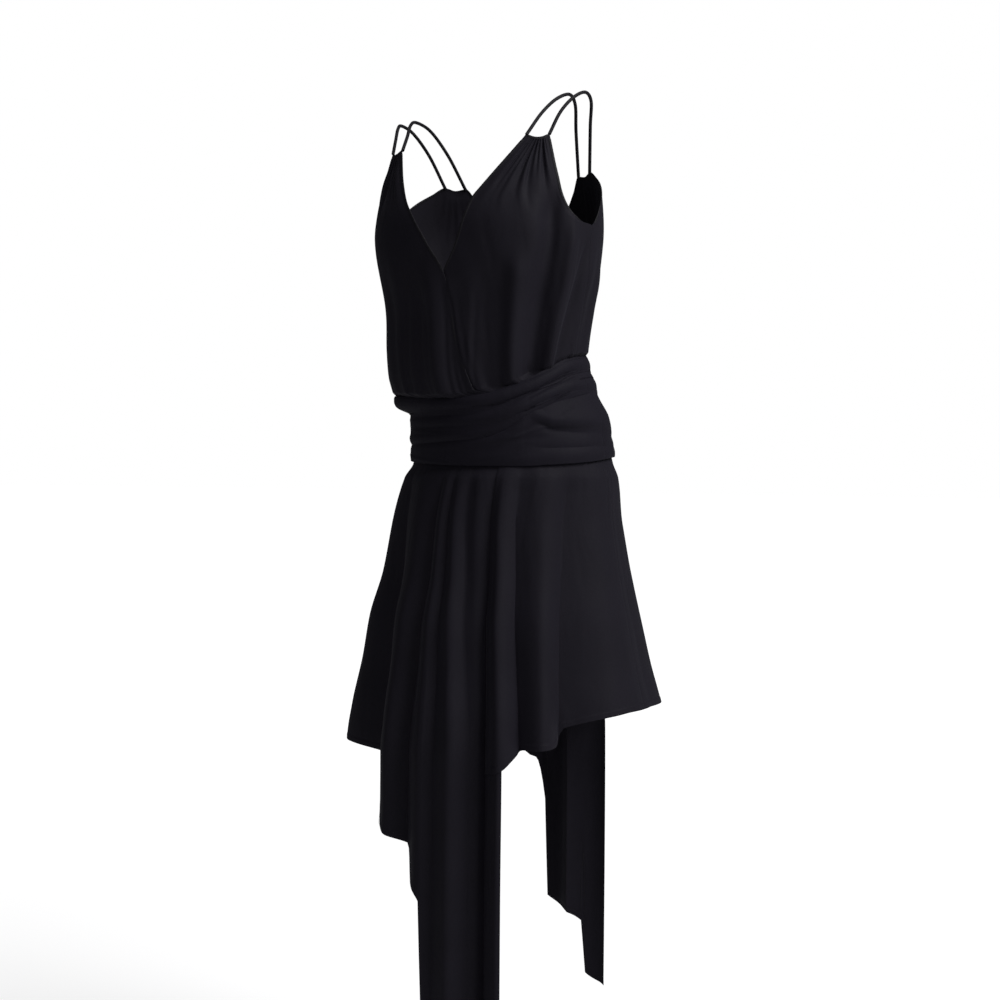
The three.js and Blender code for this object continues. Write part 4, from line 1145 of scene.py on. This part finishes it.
def skirtCreases(column, height):
    total = 0 * column
    plain, foot = skirtForm["plain"], skirtForm["sashFoot"]
    smooth = mix(plain["least"], 1, fade(*plain["within"], np.abs(column - plain["turn"])))
    for centre, out, wide, reach in underSash:
        shown = fade(foot - reach, foot - reach * 0.2, height)
        total = total + out * hump(column - centre, wide) * shown
    total = total * fade(foot + 10, foot - 12, height) * smooth
    for k, (centre, out, wide, reach) in enumerate(hemWaves):
        start = waveLook["highest"] - waveLook["step"] * ((k * 7) % 6)
        leaning = centre + waveLook["lean"] * (height - waveLook["level"]) * np.sin(k * 2.3)
        total = total + out * hump(column - leaning, wide) * fade(start, start - reach, height)
    return total


def rowHeight(row, hem):
    heights = np.array(skirtForm["heights"], float)
    last = len(heights) - 1
    upper = np.interp(row, np.arange(len(heights)), heights)
    return np.where(row > last, mix(heights[-1], hem, row - last), upper)


def skirtColumns(start, end, kept):
    wanted = sorted({turn for turn in kept if start + 0.8 < turn < end - 0.8})
    apart = [turn for k, turn in enumerate(wanted) if k == 0 or turn - wanted[k - 1] > 0.6]
    steps = skirtForm["edgeSteps"]
    stops = [start + step for step in steps]
    stops += [turn for turn in apart if start + 2.9 < turn < end - 2.9]
    stops += [end - step for step in steps[::-1]]
    return np.concatenate([
        np.linspace(a, b, max(1, math.ceil((b - a) / skirtForm["spacing"])), endpoint=False)
        for a, b in zip(stops, stops[1:])] + [[end]])


# the height taken by each millimetre straight away from a slanting hem
def hemSlant(hem, column):
    slope = (hem(column + 0.1) - hem(column - 0.1)) / (0.2 * skirtForm["millimetresPerDegree"])
    return np.sqrt(1 + slope ** 2)


def skirtPanel(name, node, start, end, openEdge, hem, lying, longest):
    surface = lambda column, row: skirtPoint(column, rowHeight(row, hem(column)))
    last = len(skirtForm["heights"]) - 1
    lowRows = [*np.linspace(0, 0.7, longest, endpoint=False), *(1 - np.array(hemLook["rows"]))]
    rows = np.concatenate([refine(np.arange(last + 1), 9)[:-1], last + np.array(lowRows)])
    kept = [fold[1] for fold in foldLines] + [step[0] for step in rightHemSteps]
    columns = skirtColumns(start, end, kept)
    sideSeam = end if openEdge == start else start
    wide = hemLook["wide"]

    def raised(column, row):
        height = rowHeight(row, hem(column))
        away = (height - hem(column)) / hemSlant(hem, column)
        turnedUp = hemLook["raised"] * fade(wide + 0.6, wide - 0.6, away)
        turnedUp = turnedUp - hemLook["groove"] * hump(away - wide - 0.3, hemLook["grooveWide"])
        fromEdge = np.abs(column - openEdge) * skirtForm["millimetresPerDegree"]
        turnedUp = np.maximum(turnedUp, hemLook["frontEdge"] * fade(wide + 1.5, wide - 1.5, fromEdge))
        sewn = turnedUp + skirtForm["seamShare"] * seamDip(column - sideSeam)
        return lying(column) + skirtCreases(column, height) + sewn * fade(*skirtForm["shows"], height)

    outer = raisedGrid(surface, columns, rows, raised)
    pieces[name] = settle(shell(name, outer, cloth["thickness"]), "crepe", node)


right, left = skirtForm["rightEdges"], skirtForm["leftEdges"]
rightOver = lambda column: cloth["layerStep"] * fade(-168, -178, column)
leftOver = lambda column: cloth["layerStep"] * fade(40, 27, column)
# each panel's node, first and last turn, the seam gaps there, its open edge, its hem, how it lies over its
# neighbour, and how many long rows it has
skirtPanels = {
    "rightSkirt_front": ("skirt_right_front", right["side"], right["front"], (0, 0), right["front"],
                         rightHem, level, 56),
    "rightSkirt_back": ("skirt_right_back", right["back"], right["side"], (0, seamTurn), right["back"],
                        rightHem, rightOver, 56),
    "leftSkirt_front": ("skirt_left_front", left["front"], left["side"], (0, 0), left["front"],
                        leftHem, leftOver, 12),
    "leftSkirt_back": ("skirt_left_back", left["side"], left["back"], (seamTurn, 0), left["back"],
                       leftHem, level, 12),
}
for name, (node, start, end, gaps, openEdge, hem, lying, longest) in skirtPanels.items():
    skirtPanel(name, node, start + gaps[0], end - gaps[1], openEdge, hem, lying, longest)
print("skirt hung")

# Stitches: rows of small thread beads along the hems.
stitchLook = {"pitch": 3.0, "length": 2.1, "thread": 0.42, "uneven": 0.12, "seed": 5, "hemIn": 6.4}
stitches = {}
for name, (_, start, end, _, _, hem, lying, _) in skirtPanels.items():
    column = np.linspace(start + 2, end - 2, 420)
    height = hem(column) + stitchLook["hemIn"] * hemSlant(hem, column)
    raise_ = lying(column) + skirtCreases(column, height) + hemLook["raised"]
    path = raisedPoints(skirtPoint, column, height, (start, end), (-1200, -400), raise_)
    piece = grow("hemStitches_" + name, runningStitch, path, {
        "Pitch": stitchLook["pitch"] * mm, "Length": stitchLook["length"] * mm,
        "Thread": stitchLook["thread"] * mm, "Uneven": stitchLook["uneven"], "Seed": stitchLook["seed"],
        "Cloth": finish["blackThread"]})
    stitches[name] = settle(piece, "binding")
print("hems stitched:", len(stitches))

# Cut of each panel: flat width and length in metres, area in square metres, how it hangs, what it rests on
# and the pieces sewn to it.
cutColumns = ("flat", "area", "held", "rests", "with")
cuts = {
    "rightBodice": ((0.34, 0.42), 0.075, "gathered",
                    ["innerStrap_right", "outerStrap_right", "bandSash_front"],
                    ["topBinding_right", "neckBinding_right", "armholeBinding_right"]),
    "leftBodice": ((0.32, 0.42), 0.07, "gathered",
                   ["innerStrap_left", "outerStrap_left", "bandSash_front"],
                   ["topBinding_left", "neckBinding_left", "armholeBinding_left"]),
    "backBodice": ((0.46, 0.36), 0.12, "gathered",
                   ["innerStrap_left", "innerStrap_right", "bandSash_back"],
                   ["backNeckBinding", "backArmholeBinding_left", "backArmholeBinding_right"]),
    "bandSash_front": ((0.40, 0.10), None, "stretched", ["rightBodice"], []),
    "bandSash_back": ((0.40, 0.10), None, "stretched", ["backBodice"], []),
    "wrapSash_front": ((0.42, 0.08), None, "folded", ["bandSash_front"], []),
    "wrapSash_back": ((0.42, 0.08), None, "folded", ["bandSash_back"], []),
    "rightSkirt_front": ((0.46, 0.80), 0.19, "hung", ["bandSash_front"], ["hemStitches_rightSkirt_front"]),
    "rightSkirt_back": ((0.46, 0.82), 0.17, "hung", ["bandSash_back"], ["hemStitches_rightSkirt_back"]),
    "leftSkirt_front": ((0.30, 0.46), 0.08, "hung", ["bandSash_front"], ["hemStitches_leftSkirt_front"]),
    "leftSkirt_back": ((0.36, 0.42), 0.09, "hung", ["bandSash_back"], ["hemStitches_leftSkirt_back"]),
}
for name, row in cuts.items():
    cut = dict(zip(cutColumns, row))
    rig.sheet(pieces[name], flat=cut["flat"], area=cut["area"], held=cut["held"], rests_on=cut["rests"],
             with_pieces=[bpy.data.objects[other] for other in cut["with"]])
print("cuts declared:", len(cuts))

# Pale studio floor, soft lights and the camera, in metres.
studio = {
    "floor": {"height": -1.38, "half": 30.0, "colour": (0.86, 0.86, 0.87, 1.0),
              "roughness": 0.9, "glow": (0.62, 1.0), "glowFrom": (0.6, 5.0)},
    "world": {"colour": (1.0, 1.0, 1.0, 1.0), "behind": 1.0, "around": 0.04},
    "lights": [
        {"name": "key", "at": (3.20, -0.20, 2.42), "aim": (0, 0, -0.6), "size": 2.3, "power": 138},
        {"name": "top", "at": (0.05, 0.0, 3.40), "aim": (0, 0, -0.6), "size": 2.2, "power": 14},
        {"name": "front", "at": (0.75, -2.48, 0.90), "aim": (0, 0, -0.6), "size": 1.6, "power": 7},
    ],
    "camera": {"at": (1.221, -2.112, -0.4385), "aim": (0.0112, 0.0053, -0.5113), "lens": 66.67},
}


def lookAt(thing, place, aim):
    thing.location = place
    thing.rotation_mode = "QUATERNION"
    thing.rotation_quaternion = (Vector(aim) - Vector(place)).to_track_quat("-Z", "Y")


ground = studio["floor"]
half = ground["half"]
floorMesh = bpy.data.meshes.new("floor")
corners = [(x * half, y * half, ground["height"]) for x, y in ((-1, -1), (1, -1), (1, 1), (-1, 1))]
floorMesh.from_pydata(corners, [], [(0, 1, 2, 3)])
floor = addObject("floor", floorMesh)
paper = bpy.data.materials.new("palePaper")
paper.use_nodes = True
tree = paper.node_tree
sheet = tree.nodes["Principled BSDF"]
sheet.inputs["Base Color"].default_value = ground["colour"]
sheet.inputs["Roughness"].default_value = ground["roughness"]
# the paper glows a little towards the camera, more with distance, so that it runs into the white behind
place = addNode(tree, "ShaderNodeTexCoord")
distance = addNode(tree, "ShaderNodeVectorMath", {"operation": "LENGTH"}, at0=place.outputs["Object"])
glow = addNode(tree, "ShaderNodeMapRange", {"interpolation_type": "SMOOTHSTEP"},
               Value=distance.outputs["Value"], From_Min=ground["glowFrom"][0],
               From_Max=ground["glowFrom"][1], To_Min=ground["glow"][0], To_Max=ground["glow"][1])
seen = addNode(tree, "ShaderNodeLightPath")
strength = calculate(tree, "MULTIPLY", glow.outputs["Result"], seen.outputs["Is Camera Ray"])
sheet.inputs["Emission Color"].default_value = (1, 1, 1, 1)
tree.links.new(strength, sheet.inputs["Emission Strength"])
floorMesh.materials.append(paper)
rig.stage(floor)

bpy.context.scene.view_settings.view_transform = "Standard"
world = bpy.data.worlds.new("studio")
world.use_nodes = True
background = world.node_tree.nodes["Background"]
background.inputs["Color"].default_value = studio["world"]["colour"]
seen = addNode(world.node_tree, "ShaderNodeLightPath")
strength = addNode(world.node_tree, "ShaderNodeMapRange", Value=seen.outputs["Is Camera Ray"],
                   To_Min=studio["world"]["around"], To_Max=studio["world"]["behind"])
world.node_tree.links.new(strength.outputs["Result"], background.inputs["Strength"])
bpy.context.scene.world = world
for lamp in studio["lights"]:
    data = bpy.data.lights.new(lamp["name"], "AREA")
    data.shape = "DISK"
    data.size = lamp["size"]
    data.energy = lamp["power"]
    lookAt(addObject(lamp["name"], data), lamp["at"], lamp["aim"])
eye = bpy.data.cameras.new("photoView")
eye.lens = studio["camera"]["lens"]
eye.sensor_width = 36
eye.clip_end = 200
camera = addObject("photoView", eye)
lookAt(camera, studio["camera"]["at"], studio["camera"]["aim"])
bpy.context.scene.camera = camera
print("studio lit")

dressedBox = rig.bounds()
with open("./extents.json", "w") as sizes:
    json.dump({"cad": [list(corner) for corner in cadBox],
               "visual": [list(corner) for corner in dressedBox]}, sizes)
